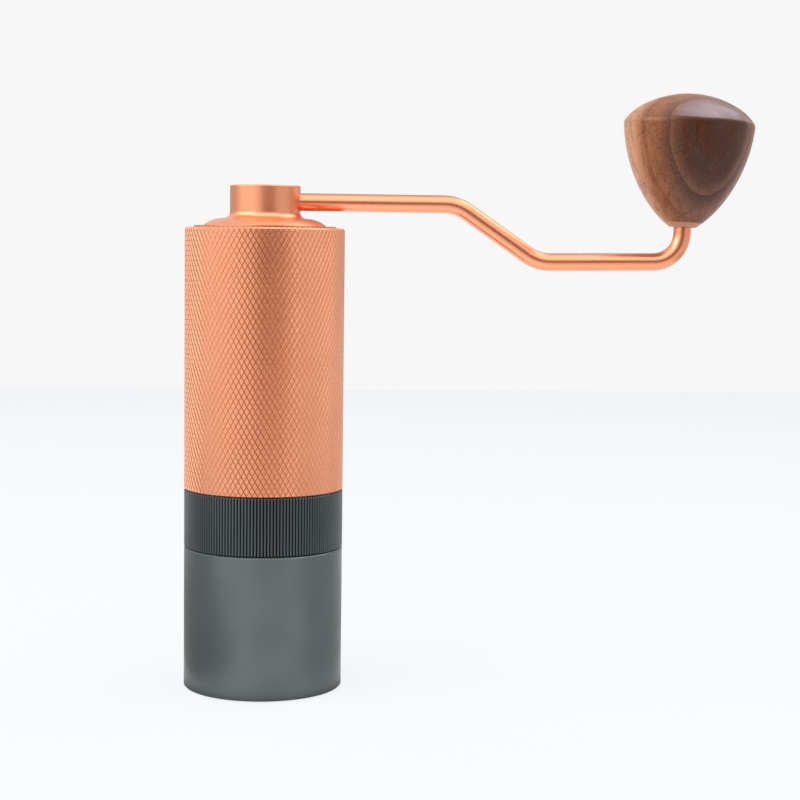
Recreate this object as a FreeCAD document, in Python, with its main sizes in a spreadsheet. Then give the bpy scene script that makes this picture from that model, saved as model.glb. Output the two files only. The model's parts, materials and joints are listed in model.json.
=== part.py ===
import FreeCAD
import Part
import Sketcher
import math
import os
import re

# Hand crank coffee grinder. Millimetres, +Z up, origin on the table under the middle of the cup.
# The crank arm points along +X.

doc = FreeCAD.newDocument("hand_grinder")
sheet = doc.addObject("Spreadsheet::Sheet", "dims")

SIZES = {
    # outside of the body, the ring and the cup
    "body_diameter": 54.0,
    "cup_height": 48.4,
    "ring_height": 19.5,
    "body_height": 88.5,
    "seam_gap": 0.15,
    "edge_break": 0.4,
    "top_chamfer": 0.7,
    # clearances on the radius: turning, screwed, sliding and hexagon fits
    "running_gap": 0.05,
    "thread_gap": 0.1,
    "sleeve_gap": 0.15,
    "slide_gap": 0.2,
    "hex_gap": 0.05,
    "screw_gap": 0.05,
    # cup and its pad
    "pad_reveal": 0.4,
    "pad_thickness": 1.6,
    "pad_inset": 1.5,
    "cup_floor": 2.8,
    "cup_wall": 2.5,
    "cup_mouth_wall": 1.9,
    "cup_floor_round": 3.0,
    "mouth_relief": 0.6,
    # adjuster ring, its spigot for the cup, its ribs and its click pits
    "spigot_wall": 1.6,
    "spigot_length": 7.0,
    "ring_lip": 5.0,
    "ring_lip_step": 1.2,
    "rib_count": 156,
    "rib_depth": 0.45,
    "rib_groove": 0.5,
    "click_count": 40,
    "click_inset": 1.4,
    "click_pit": 1.4,
    "click_depth": 0.3,
    # collar that carries the ring, with the clip and the click ball
    "skirt_wall": 1.55,
    "skirt_tail": 2.5,
    "flange_cover": 1.55,
    "flange_thickness": 5.0,
    "collar_cover": 3.0,
    "collar_length": 7.0,
    "funnel_step": 0.7,
    "funnel_lip": 1.0,
    "clip_seat": 0.45,
    "clip_reach": 1.05,
    "clip_thickness": 1.1,
    "clip_play": 0.25,
    "clip_turn": 330.0,
    "ball_diameter": 2.0,
    "ball_roof": 0.8,
    "spring_coil": 1.44,
    "spring_wire": 0.32,
    "spring_turns": 3,
    # body tube
    "body_wall": 3.8,
    "mouth_step": 1.2,
    "mouth_lip": 5.75,
    "spider_clip_width": 2.2,
    # three-armed bearing carriers
    "spider_thickness": 6.0,
    "spider_rim_inset": 0.7,
    "spider_hub_wall": 3.0,
    "spider_arm": 5.0,
    "spider_arms": 3,
    "window_round": 1.2,
    "hub_overhang": 1.0,
    "bearing_lip": 1.9,
    "bearing_shoulder": 1.5,
    # ball bearings
    "bearing_diameter": 16.0,
    "bearing_width": 5.0,
    "bearing_ball": 2.3,
    "bearing_balls": 8,
    "race_land": 0.85,
    "race_break": 0.3,
    "race_play": 0.07,
    "cage_wall": 1.0,
    "cage_height": 3.4,
    "shield_thickness": 0.25,
    "shield_inset": 0.1,
    "shield_gap": 0.15,
    # shaft
    "shaft_diameter": 8.0,
    "shaft_step": 0.5,
    "hex_relief": 0.1,
    "hex_lead": 0.5,
    "hex_end_gap": 0.5,
    "shaft_clip_seat": 0.5,
    "shaft_clip_thickness": 0.8,
    "spacer_wall": 1.5,
    # burrs
    "burr_recess": 1.15,
    "burr_gap": 0.35,
    "burr_rim": 2.7,
    "inner_burr_height": 17.0,
    "burr_nose_wall": 0.8,
    "fine_height": 5.8,
    "fine_taper": 1.35,
    "outer_burr_height": 14.0,
    "throat_step": 0.75,
    "throat_height": 10.8,
    "burr_mouth_flare": 2.6,
    "flute_count": 6,
    "flute_depth": 2.3,
    "flute_foot": 4.5,
    "flute_lead": 44.0,
    "flute_middle": 11.0,
    "flute_brim": 25.5,
    "flute_back_top": 40.0,
    "flute_front_top": 8.0,
    "flute_back_middle": 54.0,
    "flute_front_middle": 5.0,
    "flute_back_foot": 22.0,
    "flute_front_foot": 3.0,
    "ring_flute_count": 9,
    "ring_flute_depth": 2.0,
    "ring_flute_lead": 14.0,
    "ring_flute_back_top": 4.0,
    "ring_flute_front_top": 34.0,
    "ring_flute_back_foot": 3.0,
    "ring_flute_front_foot": 9.0,
    "tooth_count": 36,
    "tooth_depth": 0.85,
    "tooth_lead": 8.0,
    "tooth_back": 4.2,
    "tooth_front": 1.6,
    "cut_margin": 0.5,
    "shaft_foot": 1.3,
    "bolt_diameter": 4.9,
    "bolt_length": 12.0,
    "bolt_head": 8.5,
    "bolt_head_height": 3.5,
    "bolt_hex": 4.0,
    "bolt_hex_depth": 2.2,
    "washer_diameter": 14.0,
    "washer_thickness": 1.5,
    # carrier that moves the outer burr up and down
    "carrier_wall": 1.4,
    "carrier_lip": 1.75,
    "carrier_lip_height": 2.8,
    "carrier_travel": 1.0,
    "stop_gap": 0.6,
    "key_width": 3.0,
    "key_height": 5.5,
    "key_reach": 0.6,
    "key_count": 3,
    "burr_screw_inset": 1.9,
    "burr_screw_head": 4.2,
    "burr_screw_head_height": 1.5,
    "burr_screw_shank": 2.5,
    "burr_screw_cover": 2.65,
    # lid with its hub
    "lid_gap": 0.15,
    "lid_inset": 2.95,
    "lid_flange": 0.4,
    "lid_rim": 3.05,
    "dome_rise": 2.63,
    "neck_fillet": 2.1,
    "hub_diameter": 23.8,
    "hub_cap": 2.45,
    "hub_round": 0.4,
    "socket_diameter": 12.0,
    "socket_length": 11.6,
    "socket_floor": 0.6,
    "liner_thickness": 3.4,
    "liner_bore_gap": 3.0,
    "liner_screw_offset": 2.7,
    "liner_screw_head": 4.0,
    "liner_screw_head_height": 1.4,
    "liner_screw_shank": 2.0,
    "liner_screw_length": 3.6,
    "liner_screw_room": 0.2,
    "liner_screws": 3,
    # crank arm, a bent rod with a thin end for the knob
    "rod_diameter": 6.0,
    "arm_height": 8.7,
    "arm_upper_run": 65.0,
    "arm_slant_run": 28.0,
    "arm_lower_run": 49.75,
    "arm_drop": 19.25,
    "arm_end_rise": 0.65,
    "arm_bend": 14.0,
    "elbow_bend": 10.0,
    "spindle_diameter": 4.8,
    "spindle_shoulder": 3.0,
    "spindle_tip": 1.0,
    "grub_inset": 3.0,
    "grub_diameter": 3.0,
    "grub_recess": 0.8,
    # knob on its leaning spindle
    "knob_stand": 11.95,
    "knob_lean": 2.5,
    "knob_height": 45.45,
    "knob_diameter": 44.6,
    "knob_crown": 10.0,
    "knob_crown_radius": 32.3,
    "knob_brow": 33.0,
    "knob_side_radius": 52.2,
    "knob_waist": 29.2,
    "knob_waist_height": 10.95,
    "knob_foot_lip": 0.7,
    "knob_foot_flare": 1.85,
    "knob_foot_rise": 1.4,
    "knob_round": 2.2,
    "knob_bore_gap": 0.9,
    "knob_cap": 11.5,
    "knob_bore_end": 1.5,
    "bush_end_gap": 0.2,
    "knob_clip_play": 0.2,
    "knob_clip_inset": 0.4,
    "knob_clip_seat": 0.4,
    "knob_clip_thickness": 0.8,
}

# Places worked out from the sizes above. Names ending in _r are radii, the others are heights.
PLACES = {
    "body_r": "body_diameter / 2",
    "ring_bottom": "cup_height + seam_gap",
    "ring_top": "ring_bottom + ring_height",
    "body_bottom": "ring_top + seam_gap",
    "body_top": "body_bottom + body_height",
    "pad_r": "body_r - pad_inset",
    "floor_top": "pad_thickness + cup_floor",
    "cup_r": "body_r - cup_wall",
    "cup_mouth_r": "body_r - cup_mouth_wall",
    "cup_mouth_foot": "spigot_bottom - mouth_relief",
    "spigot_r": "cup_mouth_r - thread_gap",
    "spigot_bottom": "ring_bottom - spigot_length",
    "ring_bore_r": "spigot_r - spigot_wall",
    "ring_lip_r": "ring_bore_r - ring_lip_step",
    "ring_lip_bottom": "ring_top - ring_lip",
    "clip_top": "ring_lip_bottom - clip_play",
    "clip_bottom": "clip_top - clip_thickness",
    "skirt_r": "ring_lip_r - running_gap",
    "skirt_bore_r": "skirt_r - skirt_wall",
    "skirt_bottom": "clip_bottom - skirt_tail",
    "flange_bore_r": "body_r - flange_cover",
    "flange_r": "flange_bore_r - running_gap",
    "flange_bottom": "body_bottom + seam_gap",
    "flange_top": "flange_bottom + flange_thickness",
    "click_r": "flange_r - click_inset",
    "ball_pocket": "flange_thickness - ball_roof",
    "collar_bore_r": "body_r - collar_cover",
    "collar_r": "collar_bore_r - running_gap",
    "collar_top": "flange_top + collar_length",
    "funnel_top_r": "spider_rim_r + thread_gap",
    "funnel_foot_r": "carrier_mouth_r + funnel_step",
    "hopper_r": "body_r - body_wall",
    "mouth_r": "hopper_r - mouth_step",
    "lower_rim_bottom": "collar_top",
    "lower_rim_top": "lower_rim_bottom + spider_thickness",
    "upper_rim_top": "body_top - mouth_lip",
    "upper_rim_bottom": "upper_rim_top - spider_thickness",
    "spider_clip_r": "hopper_r + clip_seat - running_gap",
    "spider_clip_top": "upper_rim_bottom - running_gap",
    "spider_clip_bottom": "spider_clip_top - clip_thickness",
    "spider_hub_r": "bearing_r + spider_hub_wall",
    "spider_rim_r": "mouth_r - spider_rim_inset",
    "bearing_r": "bearing_diameter / 2",
    "bearing_lip_r": "bearing_r - bearing_shoulder",
    "pitch_r": "(shaft_r + bearing_r) / 2",
    "outer_land_r": "pitch_r + race_land",
    "inner_land_r": "pitch_r - race_land",
    "ball_r": "bearing_ball / 2",
    "raceway_r": "ball_r + race_play",
    "raceway_half": "sqrt(raceway_r ^ 2 - race_land ^ 2)",
    "lower_bearing_top": "lower_rim_top + hub_overhang - bearing_lip",
    "lower_bearing_bottom": "lower_bearing_top - bearing_width",
    "upper_bearing_bottom": "upper_rim_bottom - hub_overhang + bearing_lip",
    "upper_bearing_top": "upper_bearing_bottom + bearing_width",
    "shaft_r": "shaft_diameter / 2",
    "hex_corner_r": "shaft_r - hex_relief",
    "hex_flats": "sqrt(3) * hex_corner_r",
    "hex_hole": "hex_flats + 2 * hex_gap",
    "burr_bottom": "ring_bottom + burr_recess",
    "inner_burr_top": "burr_bottom + inner_burr_height",
    "inner_burr_r": "outer_burr_r - burr_rim - burr_gap",
    "inner_burr_nose_r": "hex_hole / sqrt(3) + burr_nose_wall + flute_depth",
    "outer_burr_r": "burr_seat_r - running_gap",
    "outer_burr_top": "burr_bottom + outer_burr_height",
    "fine_top": "burr_bottom + fine_height",
    "throat_r": "inner_burr_r + burr_gap - fine_taper - throat_step",
    "burr_mouth_r": "throat_r + burr_mouth_flare",
    "throat_level": "burr_bottom + throat_height",
    "shaft_bottom": "burr_bottom + shaft_foot",
    "shaft_shoulder": "upper_rim_top + hub_overhang + shaft_step",
    "shaft_top": "socket_top - socket_floor - hex_end_gap",
    "washer_bottom": "burr_bottom - washer_thickness",
    "bolt_bottom": "washer_bottom - bolt_head_height",
    "bolt_r": "bolt_diameter / 2",
    "carrier_r": "ring_bore_r - thread_gap",
    "carrier_sleeve_r": "skirt_bore_r - sleeve_gap",
    "carrier_flange_top": "skirt_bottom - carrier_travel - stop_gap",
    "carrier_top": "outer_burr_top + carrier_lip_height",
    "carrier_mouth_r": "burr_seat_r - carrier_lip",
    "burr_seat_r": "carrier_sleeve_r - carrier_wall",
    "burr_screw_r": "outer_burr_r + burr_screw_inset",
    "burr_screw_length": "carrier_flange_top - burr_bottom - burr_screw_cover",
    "collar_step": "carrier_top + carrier_travel + stop_gap",
    "key_r": "carrier_sleeve_r + key_reach",
    "key_top": "carrier_top - stop_gap",
    "lid_bottom": "body_top + lid_gap",
    "lid_r": "body_r - lid_inset",
    "lid_flange_top": "lid_bottom + lid_flange",
    "dome_r": "lid_r - lid_rim",
    "dome_top": "lid_flange_top + dome_rise",
    "dome_curve": "((dome_r - neck_r) ^ 2 + dome_rise ^ 2) / (2 * dome_rise)",
    "neck_r": "hub_r + neck_fillet",
    "hub_r": "hub_diameter / 2",
    "hub_top": "socket_top + hub_cap",
    "socket_r": "socket_diameter / 2",
    "socket_top": "lid_bottom + socket_length",
    "liner_bottom": "lid_bottom - liner_thickness",
    "liner_r": "mouth_r - slide_gap",
    "liner_bore_r": "socket_r + liner_bore_gap",
    "liner_screw_r": "neck_r + liner_screw_offset",
    "liner_screw_seat": "liner_bottom + liner_screw_head_height",
    "liner_hole_depth": "liner_screw_seat + liner_screw_length + liner_screw_room - lid_bottom",
    "rod_r": "rod_diameter / 2",
    "arm_level": "lid_bottom + arm_height",
    "grub_r": "grub_diameter / 2",
    "grub_place": "socket_r + grub_inset",
    "slant_end": "arm_upper_run + arm_slant_run",
    "slant_foot": "arm_level - arm_drop",
    "arm_reach": "slant_end + arm_lower_run",
    "elbow_level": "slant_foot + arm_end_rise",
    "knob_x": "arm_reach + knob_stand * sin(knob_lean * 1 deg)",
    "knob_z": "elbow_level + knob_stand * cos(knob_lean * 1 deg)",
    "spindle_r": "spindle_diameter / 2",
    "spindle_end": "knob_bore_top - knob_bore_end",
    "knob_r": "knob_diameter / 2",
    "knob_shoulder": "knob_height - knob_crown",
    "knob_brow_r": "knob_brow / 2",
    "knob_brow_level": "knob_height - knob_crown_radius + sqrt(knob_crown_radius ^ 2 - knob_brow_r ^ 2)",
    "knob_brow_lean": "asin(knob_brow_r / knob_crown_radius)",
    "knob_cheek_lean": "atan((knob_brow_level - knob_shoulder) / (knob_r - knob_brow_r))",
    "knob_cheek_chord": "sqrt((knob_r - knob_brow_r) ^ 2 + (knob_brow_level - knob_shoulder) ^ 2)",
    "knob_cheek_radius": "knob_cheek_chord / (2 * sin(knob_cheek_lean - knob_brow_lean))",
    "knob_foot_r": "bush_r + knob_foot_lip",
    "knob_heel_r": "knob_foot_r + knob_foot_flare",
    "knob_waist_r": "knob_waist / 2",
    "knob_waist_lean": "knob_side_lean + asin(knob_side_chord / (2 * knob_side_radius))",
    "knob_side_lean": "atan((knob_r - knob_waist_r) / (knob_shoulder - knob_waist_height))",
    "knob_side_chord": "sqrt((knob_r - knob_waist_r) ^ 2 + (knob_shoulder - knob_waist_height) ^ 2)",
    "knob_heel_lean": "atan((knob_waist_r - knob_heel_r) / (knob_waist_height - knob_foot_rise))",
    "knob_heel_chord": "sqrt((knob_waist_r - knob_heel_r) ^ 2 + (knob_waist_height - knob_foot_rise) ^ 2)",
    "knob_heel_radius": "knob_heel_chord / (2 * sin(knob_heel_lean - knob_waist_lean))",
    "knob_bore_top": "knob_height - knob_cap",
    "bush_r": "rod_r + knob_bore_gap",
    "bush_foot": "spindle_shoulder + bush_end_gap",
    "bush_top": "knob_clip_bottom - knob_clip_play",
    "knob_clip_r": "bush_r - knob_clip_inset",
    "knob_clip_bottom": "knob_clip_top - knob_clip_thickness",
    "knob_clip_top": "spindle_end - spindle_tip",
}

for row, (alias, size) in enumerate(SIZES.items(), start=1):
    sheet.set(f"A{row}", alias.replace("_", " "))
    sheet.set(f"B{row}", str(size))
    sheet.setAlias(f"B{row}", alias)
doc.recompute()


def spelled(text):
    """Writes a size in sheet cells: places are written out, and each cell gets the sheet's name."""

    def spell(match):
        word = match.group()
        if word in PLACES:
            return "(" + spelled(PLACES[word]) + ")"
        return "dims." + word if word in SIZES else word

    return re.sub(r"[a-z_]+", spell, text)


def number(text):
    return float(sheet.evalExpression(spelled(text)))


def new_body(name, several=False):
    body = doc.addObject("PartDesign::Body", name)
    body.Label = name
    body.AllowCompound = several
    return body


def origin(body, role):
    return next(item for item in body.Origin.OriginFeatures if item.Role == role)


def new_sketch(body, name, plane="XZ_Plane", shift=("0", "0", "0"), turn=None):
    """Adds a sketch on one of the body's own planes, shifted in the plane's axes."""
    sketch = body.newObject("Sketcher::SketchObject", name)
    sketch.AttachmentSupport = [(origin(body, plane), "")]
    sketch.MapMode = "FlatFace"
    for axis, text in zip("xyz", shift):
        if text != "0":
            sketch.setExpression(f"AttachmentOffset.Base.{axis}", spelled(text))
    if turn:
        sketch.AttachmentOffset = FreeCAD.Placement(FreeCAD.Vector(), FreeCAD.Rotation(0, 0, 1, 0))
        sketch.setExpression("AttachmentOffset.Rotation.Angle", spelled(turn))
    return sketch


def bound(sketch, constraint, name, text):
    index = sketch.addConstraint(constraint)
    sketch.renameConstraint(index, name)
    sketch.setExpression(f"Constraints.{name}", spelled(text))


def pin(sketch, name, element, end, across, up):
    """Fixes a point of a sketch at a place given in words for the sheet."""
    for kind, axis, text in (("DistanceX", -2, across), ("DistanceY", -1, up)):
        if text == "0":
            sketch.addConstraint(Sketcher.Constraint("PointOnObject", element, end, axis))
        else:
            constraint = Sketcher.Constraint(kind, -1, 1, element, end, number(text))
            bound(sketch, constraint, f"{name}_{kind[-1].lower()}", text)


def arc_between(start, end, radius, side):
    """An arc with its centre on the left (side 1) or the right (side -1) of the way it is walked."""
    chord = end.sub(start)
    across = FreeCAD.Vector(-chord.y, chord.x, 0).normalize()
    reach = math.sqrt(max(radius ** 2 - (chord.Length / 2) ** 2, 0))
    centre = start + chord / 2 + across * reach * side
    first, last = (start, end) if side > 0 else (end, start)
    angles = [math.atan2(point.y - centre.y, point.x - centre.x) for point in (first, last)]
    return Part.ArcOfCircle(Part.Circle(centre, FreeCAD.Vector(0, 0, 1), radius), *angles)


def outline(sketch, points, name="p"):
    """Draws a closed outline. A point is (across, up), or (across, up, radius, side) where an arc
    leads on to the next point."""
    places = [FreeCAD.Vector(number(point[0]), number(point[1]), 0) for point in points]
    base = sketch.GeometryCount
    count = len(points)
    ends = []
    for index, point in enumerate(points):
        start, end = places[index], places[(index + 1) % count]
        if len(point) == 2:
            sketch.addGeometry(Part.LineSegment(start, end))
            ends.append((1, 2))
        else:
            sketch.addGeometry(arc_between(start, end, number(point[2]), point[3]))
            ends.append((1, 2) if point[3] > 0 else (2, 1))
    for index in range(count):
        follow = (index + 1) % count
        here, there = (base + index, ends[index][1]), (base + follow, ends[follow][0])
        sketch.addConstraint(Sketcher.Constraint("Coincident", *here, *there))
    for index, point in enumerate(points):
        pin(sketch, f"{name}{index}", base + index, ends[index][0], point[0], point[1])
        if len(point) > 2:
            radius = Sketcher.Constraint("Radius", base + index, number(point[2]))
            bound(sketch, radius, f"{name}{index}_r", point[2])


def circle(sketch, name, across, up, radius):
    centre = FreeCAD.Vector(number(across), number(up), 0)
    index = sketch.addGeometry(Part.Circle(centre, FreeCAD.Vector(0, 0, 1), number(radius)))
    pin(sketch, name, index, 3, across, up)
    bound(sketch, Sketcher.Constraint("Radius", index, number(radius)), f"{name}_r", radius)


def settle(body, feature, removes=False):
    """Recomputes a feature, and stops where a cut took nothing away."""
    before = feature.BaseFeature.Shape.Volume if removes else 0
    doc.recompute()
    if feature.Shape.isNull():
        raise RuntimeError(f"{body.Label}: {feature.Name} has no shape")
    if removes and feature.Shape.Volume > before - 1e-6:
        raise RuntimeError(f"{body.Label}: {feature.Name} cuts nothing")
    return feature


def revolve(body, name, *outlines, shift=("0", "0", "0"), turn=None, angle="360", cut=False):
    sketch = new_sketch(body, name + "_profile", shift=shift, turn=turn)
    for index, points in enumerate(outlines):
        outline(sketch, points, f"o{index}p")
    feature = body.newObject("PartDesign::Groove" if cut else "PartDesign::Revolution", name)
    feature.Profile = sketch
    feature.ReferenceAxis = (sketch, ["V_Axis"])
    feature.setExpression("Angle", spelled(angle))
    return settle(body, feature, cut)


def extrude(body, name, sketch, length, up=True, cut=False):
    """Pads or cuts a sketch by a length, along the sketch plane's normal or against it."""
    feature = body.newObject("PartDesign::Pocket" if cut else "PartDesign::Pad", name)
    feature.Profile = sketch
    feature.setExpression("Length", spelled(length))
    feature.Reversed = up if cut else not up
    return settle(body, feature, cut)


def around(body, feature, count):
    """Repeats a feature round the Z axis."""
    pattern = body.newObject("PartDesign::PolarPattern", feature.Name + "_pattern")
    pattern.Originals = [feature]
    pattern.Axis = (origin(body, "Z_Axis"), [""])
    pattern.Angle = 360
    pattern.setExpression("Occurrences", spelled(count))
    body.Tip = pattern
    return settle(body, pattern)


def round_holes(body, name, across, radius, level, depth, count="1"):
    """Drills upward from a level, at a distance from the axis."""
    sketch = new_sketch(body, name + "_sketch", "XY_Plane", ("0", "0", level))
    circle(sketch, "hole", across, "0", radius)
    hole = extrude(body, name, sketch, depth, cut=True)
    return hole if count == "1" else around(body, hole, count)


def hexagon(sketch, flats):
    corner = f"({flats}) / sqrt(3)"
    half = f"({flats}) / 2"
    outline(sketch, [
        (corner, "0"), (f"{corner} / 2", half), (f"-{corner} / 2", half),
        (f"-{corner}", "0"), (f"-{corner} / 2", f"-{half}"), (f"{corner} / 2", f"-{half}"),
    ])


def notch_sketch(body, name, level, root, brim, angle, back, front):
    """A three-cornered notch across the radius, its root at an angle and its flanks opened each way."""
    sketch = new_sketch(body, name, "XY_Plane", ("0", "0", level))
    corners = ((root, angle), (brim, f"{angle} - {back}"), (brim, f"{angle} + {front}"))
    points = []
    for radius, bearing in corners:
        points.append((f"({radius}) * cos(({bearing}) * 1 deg)", f"({radius}) * sin(({bearing}) * 1 deg)"))
    outline(sketch, points)
    return sketch


def notches(body, name, top, *below, count):
    """Cuts slanting notches from one notch sketch down through the others, repeated round the axis."""
    feature = body.newObject("PartDesign::SubtractiveLoft", name)
    feature.Profile = top
    feature.Sections = list(below)
    feature.Ruled = True
    settle(body, feature, removes=True)
    return around(body, feature, count)


# Cup and pad


def make_catch_cup():
    body = new_body("catch_cup")
    revolve(body, "turned_cup", [
        ("0", "pad_thickness"),
        ("pad_r + thread_gap", "pad_thickness"),
        ("pad_r + thread_gap", "pad_reveal"),
        ("body_r - edge_break", "pad_reveal"),
        ("body_r", "pad_reveal + edge_break"),
        ("body_r", "cup_height - edge_break"),
        ("body_r - edge_break", "cup_height"),
        ("cup_mouth_r", "cup_height"),
        ("cup_mouth_r", "cup_mouth_foot"),
        ("cup_r", "cup_mouth_foot"),
        ("cup_r", "floor_top + cup_floor_round", "cup_floor_round", -1),
        ("cup_r - cup_floor_round", "floor_top"),
        ("0", "floor_top"),
    ])
    return body


def make_base_pad():
    body = new_body("base_pad")
    revolve(body, "pad_disc", [
        ("0", "0"),
        ("pad_r - edge_break", "0"),
        ("pad_r", "edge_break"),
        ("pad_r", "pad_thickness"),
        ("0", "pad_thickness"),
    ])
    return body


# Adjuster ring and what carries it


def make_adjuster_ring():
    body = new_body("adjuster_ring")
    revolve(body, "turned_ring", [
        ("ring_bore_r", "spigot_bottom"),
        ("spigot_r - edge_break", "spigot_bottom"),
        ("spigot_r", "spigot_bottom + edge_break"),
        ("spigot_r", "ring_bottom"),
        ("body_r - edge_break", "ring_bottom"),
        ("body_r", "ring_bottom + edge_break"),
        ("body_r", "ring_top - edge_break"),
        ("body_r - edge_break", "ring_top"),
        ("ring_lip_r", "ring_top"),
        ("ring_lip_r", "ring_lip_bottom"),
        ("ring_bore_r", "ring_lip_bottom"),
    ])
    groove = new_sketch(body, "rib_groove_sketch", "XY_Plane", ("0", "0", "ring_bottom"))
    outline(groove, [
        ("body_r - rib_depth", "0"),
        ("body_r + rib_depth", "-rib_groove"),
        ("body_r + rib_depth", "rib_groove"),
    ])
    around(body, extrude(body, "rib_gap", groove, "ring_height", cut=True), "rib_count")
    pits = new_sketch(body, "click_pit_sketch", "XY_Plane", ("0", "0", "ring_top"))
    circle(pits, "pit", "click_r", "0", "click_pit / 2")
    around(body, extrude(body, "click_pit_cut", pits, "click_depth", up=False, cut=True), "click_count")
    return body


def make_frame_collar():
    body = new_body("frame_collar")
    revolve(body, "turned_collar", [
        ("skirt_bore_r", "skirt_bottom"),
        ("skirt_r", "skirt_bottom"),
        ("skirt_r", "clip_bottom - running_gap"),
        ("skirt_r - clip_seat", "clip_bottom - running_gap"),
        ("skirt_r - clip_seat", "clip_top + running_gap"),
        ("skirt_r", "clip_top + running_gap"),
        ("skirt_r", "flange_bottom"),
        ("flange_r", "flange_bottom"),
        ("flange_r", "flange_top"),
        ("collar_r", "flange_top"),
        ("collar_r", "collar_top"),
        ("funnel_top_r", "collar_top"),
        ("funnel_foot_r", "collar_step + funnel_lip"),
        ("funnel_foot_r", "collar_step"),
        ("skirt_bore_r", "collar_step"),
    ])
    slot = new_sketch(body, "key_slot_sketch", "XY_Plane", ("0", "0", "skirt_bottom"))
    half = "key_width / 2 + thread_gap"
    outline(slot, [
        ("carrier_mouth_r", f"-({half})"),
        ("key_r + thread_gap", f"-({half})"),
        ("key_r + thread_gap", half),
        ("carrier_mouth_r", half),
    ])
    around(body, extrude(body, "key_slot", slot, "collar_step - skirt_bottom", cut=True), "key_count")
    round_holes(
        body, "ball_hole", "click_r", "ball_diameter / 2 + running_gap", "flange_bottom", "ball_pocket",
    )
    return body


def make_ring_clip():
    body = new_body("ring_clip")
    revolve(body, "clip_loop", [
        ("skirt_r - clip_seat + running_gap", "clip_bottom"),
        ("skirt_r + clip_reach", "clip_bottom"),
        ("skirt_r + clip_reach", "clip_top"),
        ("skirt_r - clip_seat + running_gap", "clip_top"),
    ], angle="clip_turn")
    return body


def make_detent_ball():
    ball = doc.addObject("Part::Sphere", "detent_ball")
    ball.Label = "detent_ball"
    ball.setExpression("Radius", spelled("ball_diameter / 2"))
    ball.setExpression("Placement.Base.x", spelled("click_r"))
    ball.setExpression("Placement.Base.z", spelled("ring_top + running_gap + ball_diameter / 2"))
    return ball


def make_detent_spring():
    """A short coil above the ball, swept along arcs of a quarter turn each."""
    spring = doc.addObject("Part::Feature", "detent_spring")
    spring.Label = "detent_spring"
    wire_r = number("spring_wire / 2")
    coil_r = number("spring_coil / 2")
    foot = number("running_gap + spring_wire / 2")
    rise = number("flange_bottom + ball_pocket - ring_top - ball_diameter - 3 * running_gap - spring_wire")
    turns = int(number("spring_turns"))
    steps = 8 * turns

    def point(step):
        angle = 2 * math.pi * turns * step / steps
        return FreeCAD.Vector(coil_r * math.cos(angle), coil_r * math.sin(angle), foot + rise * step / steps)

    arcs = [Part.Arc(point(step), point(step + 1), point(step + 2)).toShape() for step in range(0, steps, 2)]
    path = Part.Wire(arcs)
    start = arcs[0].tangentAt(arcs[0].FirstParameter)
    section = Part.Wire([Part.makeCircle(wire_r, point(0), start)])
    spring.Shape = path.makePipeShell([section], True, False)
    seat = FreeCAD.Vector(number("click_r"), 0, number("ring_top + running_gap + ball_diameter"))
    spring.Placement = FreeCAD.Placement(seat, FreeCAD.Rotation())
    return spring


# Body tube, bearing carriers and bearings


def make_body_shell():
    body = new_body("body_shell")
    revolve(body, "turned_tube", [
        ("flange_bore_r", "body_bottom"),
        ("body_r - edge_break", "body_bottom"),
        ("body_r", "body_bottom + edge_break"),
        ("body_r", "body_top - top_chamfer"),
        ("body_r - top_chamfer", "body_top"),
        ("mouth_r + edge_break", "body_top"),
        ("mouth_r", "body_top - edge_break"),
        ("mouth_r", "upper_rim_top"),
        ("hopper_r", "upper_rim_top"),
        ("hopper_r", "spider_clip_top + running_gap"),
        ("hopper_r + clip_seat", "spider_clip_top + running_gap"),
        ("hopper_r + clip_seat", "spider_clip_bottom - running_gap"),
        ("hopper_r", "spider_clip_bottom - running_gap"),
        ("hopper_r", "lower_rim_top"),
        ("collar_bore_r", "lower_rim_top"),
        ("collar_bore_r", "flange_top"),
        ("flange_bore_r", "flange_top"),
    ])
    return body


def cut_windows(body, level):
    """Opens the web of a bearing carrier between straight arms."""
    sketch = new_sketch(body, "window_sketch", "XY_Plane", ("0", "0", level))

    def corner(radius, side):
        bearing = f"(180 deg / spider_arms - asin(spider_arm / (2 * {radius})))"
        return f"{radius} * cos({bearing})", f"{side} * {radius} * sin({bearing})"

    outline(sketch, [
        corner("spider_hub_r", "-1"),
        (*corner("spider_rim_r", "-1"), "spider_rim_r", 1),
        corner("spider_rim_r", "1"),
        (*corner("spider_hub_r", "1"), "spider_hub_r", -1),
    ])
    windows = around(body, extrude(body, "window", sketch, "spider_thickness", cut=True), "spider_arms")
    corners = []
    for index, edge in enumerate(windows.Shape.Edges, start=1):
        box = edge.BoundBox
        upright = abs(box.ZLength - number("spider_thickness")) < 1e-3 and box.XLength + box.YLength < 1e-3
        if upright and math.hypot(box.XMin, box.YMin) < number("spider_rim_r") + 1e-3:
            corners.append(f"Edge{index}")
    soft = body.newObject("PartDesign::Fillet", "window_corners")
    soft.Base = (windows, corners)
    soft.setExpression("Radius", spelled("window_round"))
    settle(body, soft)


def make_lower_spider():
    body = new_body("lower_spider")
    revolve(body, "turned_web", [
        ("bearing_r", "lower_rim_bottom - hub_overhang"),
        ("spider_hub_r", "lower_rim_bottom - hub_overhang"),
        ("spider_hub_r", "lower_rim_bottom"),
        ("collar_r", "lower_rim_bottom"),
        ("collar_r", "lower_rim_top"),
        ("spider_hub_r", "lower_rim_top"),
        ("spider_hub_r", "lower_rim_top + hub_overhang"),
        ("bearing_lip_r", "lower_rim_top + hub_overhang"),
        ("bearing_lip_r", "lower_bearing_top"),
        ("bearing_r", "lower_bearing_top"),
    ])
    cut_windows(body, "lower_rim_bottom")
    return body


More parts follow.
